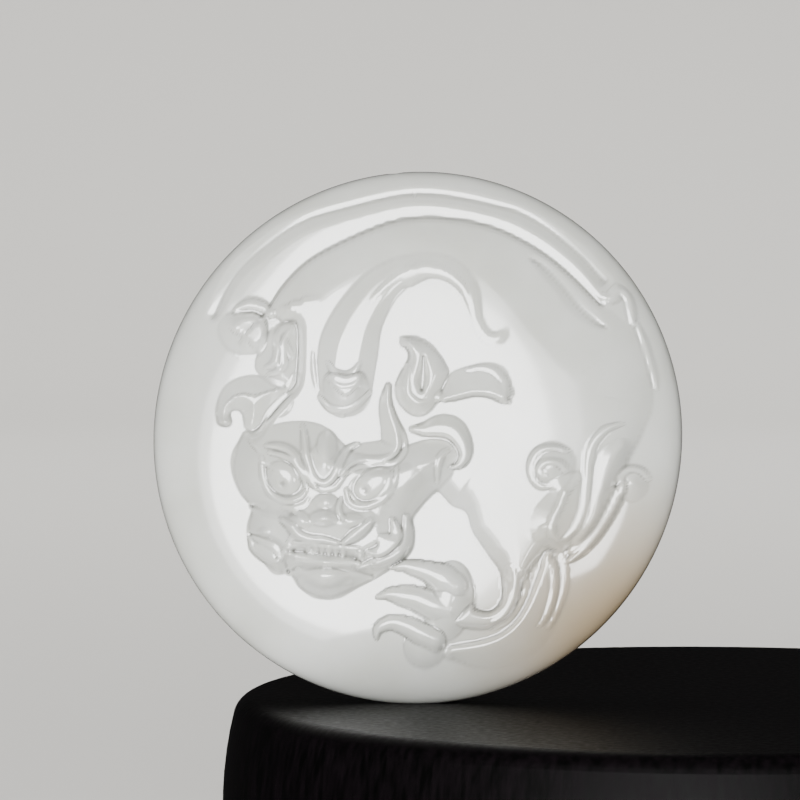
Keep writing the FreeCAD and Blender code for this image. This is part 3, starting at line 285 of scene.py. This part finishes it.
# Nose, lips, teeth.
area("muzzle", 0.8, [
    (-13.2, -8.3, 1.8), (-12.0, -7.1, 2.0), (-10.6, -6.0, 2.2),
    (-9.2, -5.4, 2.4), (-7.8, -6.0, 2.2), (-6.4, -6.9, 2.0),
    (-4.6, -7.2, 1.8), (-4.0, -8.2, 1.8), (-5.4, -9.6, 1.9), (-7.2, -10.6, 2.2), (-9.4, -10.5, 2.4),
    (-11.6, -10.1, 2.1), (-13.1, -9.2, 1.8)], "sharp")
bump("nose_bridge", 0.4, (-9.2, -6.2, 1.3, 0.9), profile="soft")
bump("nose_tip", 0.75, (-9.4, -7.9, 1.6, 0.9), profile="soft")
bump("nostril_left", 0.55, (-11.7, -8.0, 1.2, 0.9), turn=-30, profile="soft")
bump("nostril_right", 0.55, (-6.6, -8.1, 1.4, 0.8), profile="soft")
stroke("nose_curl", 0.3, [
    (-7.6, -5.8, 0.1), (-7.9, -6.8, 0.35), (-7.7, -7.6, 0.35), (-7.1, -8.1, 0.1)], "soft")
stroke("lip_left", 0.6, [
    (-13.6, -8.1, 0.3), (-12.7, -8.7, 0.6), (-11.9, -9.6, 0.7), (-10.8, -10.0, 0.6), (-9.4, -10.1, 0.5),
    (-8.0, -10.4, 0.3)], "soft")
stroke("lip_right", 0.6, [
    (-4.6, -8.1, 0.3), (-5.4, -8.9, 0.7), (-6.4, -9.7, 0.7), (-7.4, -10.4, 0.4)], "soft")
stroke("mouth_line", 0.25, [
    (-12.4, -10.4, 0.1), (-10.6, -10.5, 0.3), (-8.0, -10.8, 0.3), (-5.9, -10.9, 0.2)], "soft")
stroke("mouth", -0.95, [
    (-13.0, -11.2, 0.3), (-11.0, -11.3, 0.7), (-9.0, -11.5, 0.75),
    (-7.0, -11.7, 0.7), (-5.8, -12.2, 0.3)], "soft")
for tooth_u, tooth_v in [
        (-11.0, -11.0), (-10.3, -11.0), (-9.6, -11.1), (-8.9, -11.2), (-8.2, -11.3), (-7.5, -11.4)]:
    bump("tooth", 0.4, (tooth_u, tooth_v, 0.33, 0.55), profile="soft")
bump("fang_left", 0.6, (-12.8, -11.3, 0.5, 0.9), turn=15, profile="soft")
bump("fang_right", 0.6, (-5.8, -11.9, 0.5, 1.0), turn=-10, profile="soft")
stroke("lip_low", 0.25, [
    (-11.6, -12.3, 0.1), (-9.9, -12.35, 0.3), (-8.4, -12.5, 0.3), (-6.8, -12.6, 0.1)], "soft")

# Paw with three clawed toes.
bump("paw", 1.5, (3.0, -16.3, 2.5, 4.1), turn=-8, join="over")
bump("pad", 1.2, (0.7, -20.9, 2.6, 2.6), join="over", base=-0.4)
stroke("toe_1", 0.62, [
    (3.6, -14.8, 1.3), (2.4, -14.0, 1.4), (1.0, -13.35, 1.0), (-0.2, -13.0, 0.75), (-1.4, -12.75, 0.5),
    (-2.7, -12.95, 0.1)], join="over", base=0.9, steep=True)
stroke("toe_2", 0.62, [
    (3.0, -17.2, 1.2), (1.6, -16.8, 1.35), (0.0, -16.1, 1.2), (-1.6, -15.75, 0.95), (-2.9, -15.6, 0.55),
    (-4.05, -15.9, 0.1)], join="over", base=0.8, steep=True)
stroke("toe_3", 0.62, [
    (1.6, -20.2, 1.1), (0.3, -19.6, 1.1), (-1.0, -18.9, 0.95), (-2.4, -18.45, 0.75), (-3.5, -18.7, 0.6),
    (-4.1, -19.3, 0.4), (-4.15, -20.15, 0.1)], join="over", base=0.7, steep=True)

# Elbow folds between the leg and the wrist.
stroke("elbow_fold_1", 0.3, [
    (9.1, -12.4, 0.15), (9.7, -14.0, 0.45), (9.7, -15.8, 0.45),
    (8.9, -17.6, 0.45), (7.2, -18.6, 0.15)], "soft")
stroke("elbow_fold_2", 0.25, [
    (10.2, -12.9, 0.1), (10.8, -14.4, 0.4), (10.4, -16.2, 0.4),
    (9.2, -18.0, 0.4), (7.6, -19.1, 0.1)], "soft")

# Spirals, leaf and tendrils on the right.
bump("spiral_left", 1.0, (13.2, -2.8, 2.4, 2.5), profile="sharp")
area("leaf", 0.85, [
    (13.3, -4.2, 1.6), (12.6, -5.5, 2.0), (11.3, -7.0, 2.2), (10.8, -8.7, 2.2), (11.3, -10.0, 2.0),
    (12.7, -10.6, 1.6), (13.7, -11.1, 1.4), (14.8, -10.2, 2.0), (15.9, -9.0, 2.4), (16.6, -7.0, 2.6),
    (16.8, -4.6, 2.6), (16.3, -3.4, 2.4), (15.2, -3.4, 2.0)], "sharp")
stroke("leaf_line", 0.25, [
    (14.7, -5.0, 0.1), (14.1, -6.6, 0.35), (13.4, -8.2, 0.35),
    (13.3, -9.5, 0.35), (14.0, -10.3, 0.1)], "soft")
stroke("spiral_left_outer", 0.3, [
    (14.9, -1.3, 0.15), (13.6, -0.9, 0.35), (12.1, -1.2, 0.4), (11.25, -2.4, 0.4), (11.3, -3.9, 0.4),
    (12.2, -4.8, 0.3), (13.0, -4.8, 0.1)], "soft")
stroke("spiral_left_inner", 0.35, [
    (14.9, -3.5, 0.1), (14.2, -2.5, 0.4), (12.8, -2.3, 0.4), (12.0, -3.1, 0.4), (12.5, -4.0, 0.35)], "soft")
stroke("tendril_line", 0.35, [
    (20.4, 1.5, 0.1), (18.8, 0.9, 0.4), (17.5, -0.5, 0.5), (17.0, -2.4, 0.5), (16.9, -4.6, 0.5),
    (16.6, -7.0, 0.5), (15.8, -8.9, 0.4), (14.7, -10.1, 0.2)], "soft")
stroke("tendril_1", 0.42, [
    (20.3, -0.8, 1.0, 0.8), (19.4, -1.9, 1.8, 1.2), (18.7, -3.4, 2.0, 1.2), (18.2, -5.5, 1.9, 1.0),
    (17.6, -7.6, 1.6, 0.9), (16.3, -9.8, 1.1, 0.7), (15.2, -11.3, 0.4, 0.3)], "sharp")
bump("spiral_right", 0.7, (21.5, -4.5, 1.7, 1.9), profile="sharp")
stroke("spiral_right_ring", 0.3, [
    (20.6, -5.4, 0.1), (20.3, -4.0, 0.35), (21.2, -3.1, 0.4),
    (22.5, -3.3, 0.35), (23.2, -4.2, 0.1)], "soft")
stroke("tendril_2", 0.75, [
    (20.6, -4.9, 0.2, 0.6), (20.2, -5.8, 0.4, 1.4), (19.4, -7.5, 0.4, 1.7), (18.0, -9.7, 0.4, 1.6),
    (16.5, -11.3, 0.4, 1.2), (15.2, -12.3, 0.2, 0.4)], "sharp")
stroke("leaf_low", 0.65, [
    (12.9, -11.5, 0.2, 0.2), (12.6, -13.2, 1.9, 0.4), (11.9, -15.2, 2.8, 0.5), (11.0, -17.2, 3.3, 0.5),
    (9.8, -18.9, 3.4, 0.5), (8.2, -20.1, 3.0, 0.5),
    (6.0, -20.8, 2.4, 0.5), (3.4, -21.2, 1.0, 0.4)], "sharp")
stroke("leaf_low_fold", 0.3, [
    (13.2, -11.6, 0.1), (13.6, -13.4, 0.4), (13.6, -15.4, 0.45),
    (13.1, -17.3, 0.4), (12.3, -18.8, 0.1)], "soft")
stroke("leaf_low_line", 0.25, [
    (14.4, -11.2, 0.1), (14.75, -13.2, 0.35), (14.6, -15.4, 0.35),
    (13.9, -17.6, 0.3), (13.0, -19.2, 0.1)], "soft")


RAMP_SHARE = 0.62        # outer share of a ramp's width that slopes; the rest is flat
PROFILES = {
    "round": lambda t: 1 - t * t,
    "soft": lambda t: (1 - t * t) ** 2,
    "sharp": lambda t: 1 - t,
    "ramp": lambda t: np.minimum(1.0, (1 - t) / RAMP_SHARE),
}
SPLINE_STEPS = 6         # straight steps between two points of a smooth line
AREA_SWING = 1.0         # how far a smooth outline may swing outside its points, mm
STROKE_SWING = 0.5       # the same for the spine of a stroke
TINY = 1e-12             # keeps a step of no length from dividing by zero
LEAST_WIDTH = 1e-6       # keeps a width of nothing from dividing by zero


def smooth_line(points, closed):
    """Catmull-Rom curve through a table of points, all columns alike, as one array."""
    table = np.array(points, float)
    if closed:
        ends = np.vstack([table[-1:], table, table[:2]])
    else:
        ends = np.vstack([2 * table[:1] - table[1:2], table, 2 * table[-1:] - table[-2:-1]])
    a, b, c, d = (ends[k:len(ends) - 3 + k, None, :] for k in range(4))
    t = (np.arange(SPLINE_STEPS) / SPLINE_STEPS)[None, :, None]
    square = (2 * a - 5 * b + 4 * c - d) * t ** 2
    cube = (3 * b - a - 3 * c + d) * t ** 3
    line = (0.5 * (2 * b + (c - a) * t + square + cube)).reshape(-1, table.shape[1])
    return np.vstack([line, line[:1] if closed else table[-1:]])


def nearest(u, v, line):
    """Distance of each (u, v) to a line, its side (left 1, right -1), and the line's other columns there."""
    best = np.full(u.shape, np.inf)
    side = np.ones(u.shape)
    columns = np.zeros(u.shape + (line.shape[1] - 2,))
    for start, end in zip(line, line[1:]):
        run = end[:2] - start[:2]
        t = np.clip(((u - start[0]) * run[0] + (v - start[1]) * run[1]) / (run @ run + TINY), 0, 1)
        off_u, off_v = u - start[0] - t * run[0], v - start[1] - t * run[1]
        distance = np.hypot(off_u, off_v)
        closer = distance < best
        best[closer] = distance[closer]
        side[closer] = np.where(run[0] * off_v - run[1] * off_u >= 0, 1.0, -1.0)[closer]
        columns[closer] = (start[2:] + t[:, None] * (end[2:] - start[2:]))[closer]
    return best, side, np.maximum(columns, 0.0)


def is_inside(u, v, line):
    """True where a closed line of points goes round (u, v)."""
    inside = np.zeros(u.shape, bool)
    for a, b in zip(line, line[1:]):
        if a[1] != b[1]:
            inside ^= ((a[1] > v) != (b[1] > v)) & (u < (b[0] - a[0]) * (v - a[1]) / (b[1] - a[1]) + a[0])
    return inside


def shape_height(shape, u, v):
    """Height that one shape gives at each (u, v), and where it reaches."""
    profile = PROFILES[shape.profile]
    if shape.kind == "area":
        line = smooth_line(shape.points, True)
        distance, _, columns = nearest(u, v, line)
        reached = is_inside(u, v, line)
        return shape.rise * profile(np.clip(1 - distance / columns[:, 0], 0, 1)), reached
    if shape.kind == "stroke":
        distance, side, columns = nearest(u, v, smooth_line(shape.points, False))
        width = np.maximum(np.where(side > 0, columns[:, 0], columns[:, 1]), LEAST_WIDTH)
        scale = columns.mean(axis=1) if shape.steep else 1.0
        return shape.rise * scale * profile(np.minimum(distance / width, 1.0)), distance < width
    mid_u, mid_v, half_length, half_width = shape.points[0]
    turn = math.radians(shape.turn)
    along = ((u - mid_u) * math.cos(turn) + (v - mid_v) * math.sin(turn)) / half_length
    across = ((v - mid_v) * math.cos(turn) - (u - mid_u) * math.sin(turn)) / half_width
    t = np.minimum(np.hypot(along, across), 1.0)
    return shape.rise * profile(t), t < 1


def relief(u, v):
    """Height of the carving over the dome: the shapes in their order, each added or kept where higher."""
    height = np.zeros(u.shape)
    for shape in RELIEF:
        table = np.array(shape.points, float)
        reach = AREA_SWING if shape.kind == "area" else table[:, 2:].max() + STROKE_SWING
        low, high = table[:, :2].min(axis=0) - reach, table[:, :2].max(axis=0) + reach
        near = (u >= low[0]) & (u <= high[0]) & (v >= low[1]) & (v <= high[1])
        rise, reached = shape_height(shape, u[near], v[near])
        before = height[near]
        after = before + rise if shape.join == "add" else np.maximum(before, shape.base + rise)
        height[near] = np.where(reached, after, before)
    return height


def rim_radius(angle):
    """Radius of the plaque's outline, a circle drawn slightly long in one direction."""
    return PLAQUE_RADIUS * (1 + PLAQUE_OVAL * np.cos(2 * (angle - math.radians(PLAQUE_OVAL_ANGLE))))


def dome(share, depth):
    """Superellipse dome: depth * (1 - share ** power) ** (1 / power), share 0 to 1 of the radius."""
    return depth * np.maximum(1 - share ** PLAQUE_POWER, 0) ** (1 / PLAQUE_POWER)


HOLE_SIDES = 48                      # flat sides that each run of the cord hole is made of
DRILL_START = 1.0                    # how far outside the stone the drill starts, mm

# Grid of the carved front: points along a side, the band round the beast's face where they are closer
# together, how many times closer, and how strongly the outermost ones crowd towards the rim.
GRID_COUNT = 284
FACE_BAND_U = (-20.0, 5.5)
FACE_BAND_V = (-19.0, 8.0)
FACE_DENSITY = 1.9
RIM_CROWDING = 12
DENSITY_STEPS = 4000                 # steps in which the grid's density is summed
BACK_RINGS = 14                      # rings of the plain back, between rim and pole
BACK_SPREAD = 0.8                    # power that draws those rings towards the rim


def grid_places(band):
    """Places from -1 to 1 along one side of the grid, closer together inside the face's band."""
    ends = np.linspace(-1, 1, DENSITY_STEPS + 1)
    middles = (ends[:-1] + ends[1:]) / 2 * PLAQUE_RADIUS
    inside = (middles > band[0]) & (middles < band[1])
    sums = np.concatenate([[0], np.cumsum(np.where(inside, FACE_DENSITY, 1.0))])
    return np.interp(np.linspace(0, sums[-1], GRID_COUNT), sums, ends)


def mesh_object(name, vertices, faces):
    """One smooth-shaded mesh object at the origin, its vertices given in metres."""
    mesh = bpy.data.meshes.new(name)
    mesh.from_pydata(vertices.tolist(), [], faces)
    mesh.polygons.foreach_set("use_smooth", [True] * len(mesh.polygons))
    mesh.update()
    piece = bpy.data.objects.new(name, mesh)
    bpy.context.scene.collection.objects.link(piece)
    return piece


def placed(u, w, v):
    """Points (u, w, v) of the plaque in the shared frame, in metres; it leans back about its foot."""
    lean = math.radians(PLAQUE_LEAN)
    foot = float(rim_radius(math.radians(270)))
    seat_floor = PLINTH_TOP - SEAT_DEPTH + SEAT_GAP
    x = PLAQUE_RIGHT + u
    y = PLAQUE_BEHIND + foot * math.sin(lean) + w * math.cos(lean) + v * math.sin(lean)
    z = seat_floor + foot * math.cos(lean) + v * math.cos(lean) - w * math.sin(lean)
    return np.stack([x, y, z], axis=-1) * MM


def carved_plaque():
    """Plaque: a square grid drawn out to the disc in front, and rings of the plain dome behind.

    A grid point (a, b) lies at (a * sqrt(1 - b * b / 2), b * sqrt(1 - a * a / 2)) of the unit disc, and its
    distance from the middle is eased so that rows crowd at the rim. Its height is the dome plus the relief.
    """
    b, a = np.meshgrid(grid_places(FACE_BAND_V), grid_places(FACE_BAND_U), indexing="ij")
    x, y = a * np.sqrt(1 - b * b / 2), b * np.sqrt(1 - a * a / 2)
    share = np.minimum(np.hypot(x, y), 1.0)
    gain = 1 / (RIM_CROWDING - 1)
    crowded = (1 + gain) * share - gain * share ** RIM_CROWDING
    angle = np.arctan2(y, x)
    radius = crowded * rim_radius(angle)
    u, v = radius * np.cos(angle), radius * np.sin(angle)
    depth = dome(crowded, PLAQUE_FRONT) + relief(u.ravel(), v.ravel()).reshape(u.shape)
    last = GRID_COUNT - 1
    depth[[0, last], :] = 0
    depth[:, [0, last]] = 0
    index = np.arange(GRID_COUNT ** 2).reshape(GRID_COUNT, GRID_COUNT)
    front = np.stack([index[:-1, :-1], index[:-1, 1:], index[1:, 1:], index[1:, :-1]], axis=-1)

    rim = np.concatenate([index[0, :-1], index[:-1, -1], index[-1, :0:-1], index[:0:-1, 0]])
    rim_u, rim_v = u.ravel()[rim], v.ravel()[rim]
    ring_shares = np.sin(np.linspace(math.pi / 2, 0, BACK_RINGS + 2)[1:-1]) ** BACK_SPREAD
    ring_u, ring_v = ring_shares[:, None] * rim_u, ring_shares[:, None] * rim_v
    ring_w = np.repeat(dome(ring_shares, PLAQUE_BACK)[:, None], len(rim), axis=1)
    rings = np.vstack([rim, GRID_COUNT ** 2 + np.arange(ring_u.size).reshape(ring_u.shape)])
    turned = np.roll(rings, -1, axis=1)
    back = np.stack([rings[:-1], rings[1:], turned[1:], turned[:-1]], axis=-1)
    pole = GRID_COUNT ** 2 + ring_u.size
    cap = np.stack([rings[-1], np.full(len(rim), pole), turned[-1]], axis=-1)

    vertices = placed(
        np.concatenate([u.ravel(), ring_u.ravel(), [0.0]]),
        np.concatenate([-depth.ravel(), ring_w.ravel(), [PLAQUE_BACK]]),
        np.concatenate([v.ravel(), ring_v.ravel(), [0.0]]))
    faces = front.reshape(-1, 4).tolist() + back.reshape(-1, 4).tolist() + cap.tolist()
    stone = mesh_object("carved_plaque", vertices, faces)
    top = rim_radius(math.pi / 2)
    meeting = top - CORD_HOLE_DEPTH
    drill(stone, (CORD_HOLE_RIGHT, 0.0, top + DRILL_START), (CORD_HOLE_RIGHT, 0.0, meeting))
    drill(stone, (CORD_HOLE_RIGHT, PLAQUE_BACK + DRILL_START, meeting),
          (CORD_HOLE_RIGHT, -CORD_HOLE_RADIUS, meeting))
    return stone


def drill(stone, start, end):
    """Cuts one round run of the cord hole, from start to end in the plaque's own (u, w, v)."""
    start, end = placed(*start), placed(*end)
    axis = (end - start) / np.linalg.norm(end - start)
    side = np.cross(axis, (1.0, 0.0, 0.0))    # both runs lie across X
    side = side / np.linalg.norm(side)
    over = np.cross(axis, side)
    turn = np.linspace(0, 2 * math.pi, HOLE_SIDES, endpoint=False)[:, None]
    ring = (np.cos(turn) * side + np.sin(turn) * over) * CORD_HOLE_RADIUS * MM
    n = HOLE_SIDES
    walls = [(k, (k + 1) % n, n + (k + 1) % n, n + k) for k in range(n)]
    drill_bit = mesh_object("drill_bit", np.vstack([start + ring, end + ring]),
                            walls + [tuple(range(n))[::-1], tuple(range(n, 2 * n))])
    drill_bit.data.polygons.foreach_set("use_smooth", [False] * (n + 2))
    cut = stone.modifiers.new("cord hole", "BOOLEAN")
    cut.operation = "DIFFERENCE"
    cut.solver = "EXACT"
    cut.object = drill_bit
    bpy.context.view_layer.update()
    evaluated = stone.evaluated_get(bpy.context.evaluated_depsgraph_get())
    uncut = stone.data
    stone.data = bpy.data.meshes.new_from_object(evaluated)
    stone.data.name = "carved_plaque"
    stone.modifiers.clear()
    bpy.data.meshes.remove(uncut)
    bpy.data.meshes.remove(drill_bit.data)    # its object goes with it


CLOUD_SIZE = 9.0         # mm across one cloudy zone of the jade
SHADED_RIM_CORNER = (21.0, 0.0, -21.0)     # where the painted warm shade on the rim, which faces away from the key light, is deepest, (u, w, v)
SHADED_RIM_REACH = (3.0, 21.0)             # mm from there: full within the first, gone past the second
CREASE_SHADE_FULL = 0.43       # pointiness, 0.5 where flat, at which a valley's painted shade is full
CREASE_SHADE_NONE = 0.499      # and at which a valley has no painted shade
POLISH_SIZE = 3.5        # mm across one unevenness of the polish
POLISH_DEPTH = 0.02      # its depth, mm
LIGHT_DEPTH = 0.8        # mm that light enters the jade
FIBRE_SIZE = 0.7         # mm from one fibre of the ebony to the next
FIBRE_SLIMNESS = 0.16    # a fibre's width as a share of its length
FIBRE_DEPTH = 0.06       # its depth, mm


def add_node(nodes, kind, links=(), **settings):
    """Adds a shader node; settings name its properties or inputs, links are (input, socket) pairs."""
    node = nodes.new(kind)
    for name, value in settings.items():
        if hasattr(node, name):
            setattr(node, name, value)
        else:
            node.inputs[name.replace("_", " ")].default_value = value
    for name, socket in links:
        nodes.id_data.links.new(socket, node.inputs[name])
    return node


def set_inputs(node, values):
    """Gives a node's inputs constant values, by their names."""
    for name, value in values.items():
        node.inputs[name].default_value = value


def set_ramp(ramp, stops):
    """Gives a colour ramp its stops: (position, sRGB hex code) each."""
    for element, (position, code) in zip(ramp.color_ramp.elements, stops):
        element.position = position
        element.color = linear(code)


def new_material(name):
    """A material with its nodes, its links and its Principled shader."""
    material = bpy.data.materials.new(name)
    material.use_nodes = True
    tree = material.node_tree
    return material, tree.nodes, tree.links, tree.nodes["Principled BSDF"]


def linear(code):
    """Linear colour, with alpha 1, of an sRGB hex code, by the sRGB transfer function."""
    shares = [int(code[k:k + 2], 16) / 255 for k in (1, 3, 5)]
    return tuple(s / 12.92 if s <= 0.04045 else ((s + 0.055) / 1.055) ** 2.4 for s in shares) + (1.0,)


def nephrite_jade():
    """White nephrite, ground and polished: a waxy gloss over stone that light enters a little way."""
    material, nodes, links, shader = new_material("nephrite jade, polished")
    place = add_node(nodes, "ShaderNodeTexCoord").outputs["Object"]
    # cloudy growth zones
    clouds = add_node(nodes, "ShaderNodeTexNoise", [("Vector", place)],
                      Scale=1 / (CLOUD_SIZE * MM), Detail=4.0)
    tone = add_node(nodes, "ShaderNodeValToRGB", [("Fac", clouds.outputs["Fac"])])
    set_ramp(tone, [(0.3, "#A9AAA3"), (0.7, "#B5B6B2")])
    # painted shade: a warm, darker tone on the rim's lower right, which faces away from the key light
    from_shaded_corner = add_node(nodes, "ShaderNodeVectorMath", [(0, place)], operation="DISTANCE")
    from_shaded_corner.inputs[1].default_value = tuple(placed(*SHADED_RIM_CORNER))
    depth = add_node(nodes, "ShaderNodeMapRange", [("Value", from_shaded_corner.outputs["Value"])],
                     interpolation_type="SMOOTHSTEP")
    set_inputs(depth, {
        "From Min": SHADED_RIM_REACH[0] * MM, "From Max": SHADED_RIM_REACH[1] * MM, "To Min": 1.0, "To Max": 0.0})
    rim_shade = add_node(nodes, "ShaderNodeMix", [("Factor", depth.outputs["Result"])], data_type="RGBA")
    links.new(tone.outputs["Color"], rim_shade.inputs["A"])
    set_inputs(rim_shade, {"B": linear("#8E7E65")})
    # painted shade: grey laid into the finest valleys of the carving, where shade falls
    bend = add_node(nodes, "ShaderNodeNewGeometry").outputs["Pointiness"]
    crease_shade = add_node(nodes, "ShaderNodeMapRange", [("Value", bend)])
    set_inputs(crease_shade, {"From Min": CREASE_SHADE_FULL, "From Max": CREASE_SHADE_NONE, "To Min": 1.0, "To Max": 0.0})
    crease_shaded = add_node(nodes, "ShaderNodeMix", [("Factor", crease_shade.outputs["Result"])], data_type="RGBA")
    links.new(rim_shade.outputs["Result"], crease_shaded.inputs["A"])
    set_inputs(crease_shaded, {"B": linear("#575752")})
    links.new(crease_shaded.outputs["Result"], shader.inputs["Base Color"])
    # the last polish leaves the gloss very slightly uneven
    polish = add_node(nodes, "ShaderNodeTexNoise", [("Vector", place)],
                      Scale=1 / (POLISH_SIZE * MM), Detail=2.0)
    ripple = add_node(nodes, "ShaderNodeBump", [("Height", polish.outputs["Fac"])],
                      Strength=0.35, Distance=POLISH_DEPTH * MM)
    links.new(ripple.outputs["Normal"], shader.inputs["Normal"])
    # the stone itself, and over it the wax that it is rubbed with when finished
    set_inputs(shader, {
        "Roughness": 0.12,
        "IOR": 1.61,
        "Subsurface Weight": 0.18,
        "Subsurface Radius": (1.0, 0.95, 0.8),
        "Subsurface Scale": LIGHT_DEPTH * MM,
        "Coat Weight": 1.0,
        "Coat Roughness": 0.09,
        "Coat IOR": 1.5})
    return material


def ebony():
    """Ebony, turned and waxed: almost black, with a satin gloss and faint fibres that run upwards."""
    material, nodes, links, shader = new_material("ebony, turned and waxed")
    place = add_node(nodes, "ShaderNodeTexCoord").outputs["Object"]
    stretched = add_node(nodes, "ShaderNodeMapping", [("Vector", place)])
    set_inputs(stretched, {"Scale": (1.0, 1.0, FIBRE_SLIMNESS)})
    # fibres, as coarse as they need to be to show
    fibres = add_node(nodes, "ShaderNodeTexNoise", [("Vector", stretched.outputs["Vector"])],
                      Scale=1 / (FIBRE_SIZE * MM), Detail=5.0)
    tone = add_node(nodes, "ShaderNodeValToRGB", [("Fac", fibres.outputs["Fac"])])
    set_ramp(tone, [(0.35, "#020202"), (0.75, "#090608")])
    links.new(tone.outputs["Color"], shader.inputs["Base Color"])
    # the paler the fibre, the less wax it holds and the rougher it is
    gloss = add_node(nodes, "ShaderNodeMapRange", [("Value", fibres.outputs["Fac"])])
    set_inputs(gloss, {"To Min": 0.32, "To Max": 0.62})
    links.new(gloss.outputs["Result"], shader.inputs["Roughness"])
    grain = add_node(nodes, "ShaderNodeBump", [("Height", fibres.outputs["Fac"])],
                     Strength=0.3, Distance=FIBRE_DEPTH * MM)
    links.new(grain.outputs["Normal"], shader.inputs["Normal"])
    set_inputs(shader, {"Specular IOR Level": 0.035})
    return material


def paper():
    """Pale matt paper of the stage."""
    material, _, _, shader = new_material("matt paper, pale")
    set_inputs(shader, {"Base Color": linear("#D8D6D1"), "Roughness": 0.8})
    return material


def paper_sweep():
    """Sweep of paper: flat under the object, bent up behind it by a quarter of a circle, then upright."""
    turn = np.linspace(0, math.pi / 2, BEND_POINTS)
    flat = np.array([[-SWEEP_WIDE, 0.0]])
    bend = np.stack([SWEEP_FLAT + SWEEP_BEND * np.sin(turn), SWEEP_BEND * (1 - np.cos(turn))], axis=1)
    upright = np.array([[SWEEP_FLAT + SWEEP_BEND, SWEEP_TALL]])
    line = np.vstack([flat, bend, upright])
    left = np.column_stack([np.full(len(line), -SWEEP_WIDE), line])
    right = np.column_stack([np.full(len(line), SWEEP_WIDE), line])
    n = len(line)
    return mesh_object("paper_sweep", np.vstack([left, right]),
                       [(k, n + k, n + k + 1, k + 1) for k in range(n - 1)])


def aim(item, position, target, roll=0.0):
    """Puts an item at a position, its -Z axis towards the target and its Y axis up, then rolls it."""
    turn = (Vector(target) - Vector(position)).to_track_quat("-Z", "Y").to_matrix().to_4x4()
    item.matrix_world = Matrix.Translation(position) @ turn @ Matrix.Rotation(math.radians(roll), 4, "Z")


def soft_light(name, place, target, width, height, radiance, roll=0.0):
    """Oval soft light at a place, aimed at a target; width and height are its angles seen from there.

    Its power is radiance * pi times its sizes in metres, and roll turns it about the line to the target.
    """
    distance = (target - place).length
    light = bpy.data.lights.new(name, "AREA")
    light.shape = "ELLIPSE"
    light.size = 2 * distance * math.tan(math.radians(width / 2))
    light.size_y = 2 * distance * math.tan(math.radians(height / 2))
    light.energy = radiance * math.pi * light.size * light.size_y
    item = bpy.data.objects.new(name, light)
    bpy.context.scene.collection.objects.link(item)
    aim(item, place, target, roll)
    item.visible_camera = False
    return item


def seen_from(middle, right, up, distance):
    """Place at a distance, its direction in degrees right of and above that towards the camera."""
    azimuth, rise = math.radians(right), math.radians(CAMERA_RISE + up)
    return middle + distance * Vector((
        math.sin(azimuth) * math.cos(rise), -math.cos(azimuth) * math.cos(rise), math.sin(rise)))


SWEEP_WIDE = 4.0         # metres to either side and in front
SWEEP_FLAT = 0.9         # metres from the plinth's middle back to where the paper begins to bend
SWEEP_BEND = 0.5         # radius of the bend
SWEEP_TALL = 1.8         # height of the upright part's edge
BEND_POINTS = 25         # points along the bend

CAMERA_RISE = 2.9        # degrees above the horizon
CAMERA_DISTANCE = 0.45   # metres from the plaque's front
SENSOR_WIDTH = 36.0      # mm
NEAREST_SEEN = 0.01      # metres from the camera
FRAME_WIDTH = 0.080      # metres that the picture is wide at the plaque
FRAME_MIDDLE = (-1.81, 3.84)    # picture's middle from the plaque's centre, mm right and up

KEY_RIGHT = -9.5         # direction of the key light, degrees right of and above that towards the camera
KEY_UP = -5.4
KEY_ROLL = -35.0

plaque = carved_plaque()
plaque.data.materials.append(nephrite_jade())
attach(plaque, "root")
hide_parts("jade_plaque")

wood = ebony()
for node_name in ("plinth", "rear_prop"):
    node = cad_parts[node_name]
    node.data.materials.clear()
    node.data.materials.append(wood)

sweep = paper_sweep()
sweep.data.materials.append(paper())
sweep.visible_glossy = False
sweep.visible_shadow = False

camera_data = bpy.data.cameras.new("camera")
camera_data.sensor_width = SENSOR_WIDTH
camera_data.lens = SENSOR_WIDTH * CAMERA_DISTANCE / FRAME_WIDTH
camera_data.clip_start = NEAREST_SEEN
camera = bpy.data.objects.new("camera", camera_data)
bpy.context.scene.collection.objects.link(camera)
rise = math.radians(CAMERA_RISE)
middle = Vector(placed(0.0, -PLAQUE_FRONT, 0.0))
up = Vector((0, math.sin(rise), math.cos(rise)))
target = middle + Vector((1, 0, 0)) * FRAME_MIDDLE[0] * MM + up * FRAME_MIDDLE[1] * MM
towards = Vector((0, -math.cos(rise), math.sin(rise)))
aim(camera, target + towards * CAMERA_DISTANCE, target)
bpy.context.scene.camera = camera

soft_light("key softbox", seen_from(middle, KEY_RIGHT, KEY_UP, 0.60), middle,
           width=43.0, height=50.0, radiance=11.5, roll=KEY_ROLL)
soft_light("edge of the key softbox", seen_from(middle, KEY_RIGHT, KEY_UP, 0.62), middle,
           width=54.0, height=62.0, radiance=4.0, roll=KEY_ROLL)
soft_light("bounce card, low right", seen_from(middle, 29.5, -16.0, 0.60), middle,
           width=11.0, height=20.0, radiance=11.5, roll=-30.0)
# these two light the paper and the object's back, and leave no highlight on stone or wood
paper_light = soft_light("light on the paper", Vector((0, 0.3, 1.3)), Vector((0, 1.3, 0.3)),
                         width=50.0, height=30.0, radiance=7.0)
paper_light.visible_glossy = False
back_fill = soft_light("fill from behind", Vector((0.1, 0.9, 0.7)), middle,
                       width=30.0, height=30.0, radiance=3.0)
back_fill.visible_glossy = False

world = bpy.data.worlds.new("studio")
world.use_nodes = True
set_inputs(world.node_tree.nodes["Background"], {"Color": linear("#C9C8C6"), "Strength": 0.12})
bpy.context.scene.world = world
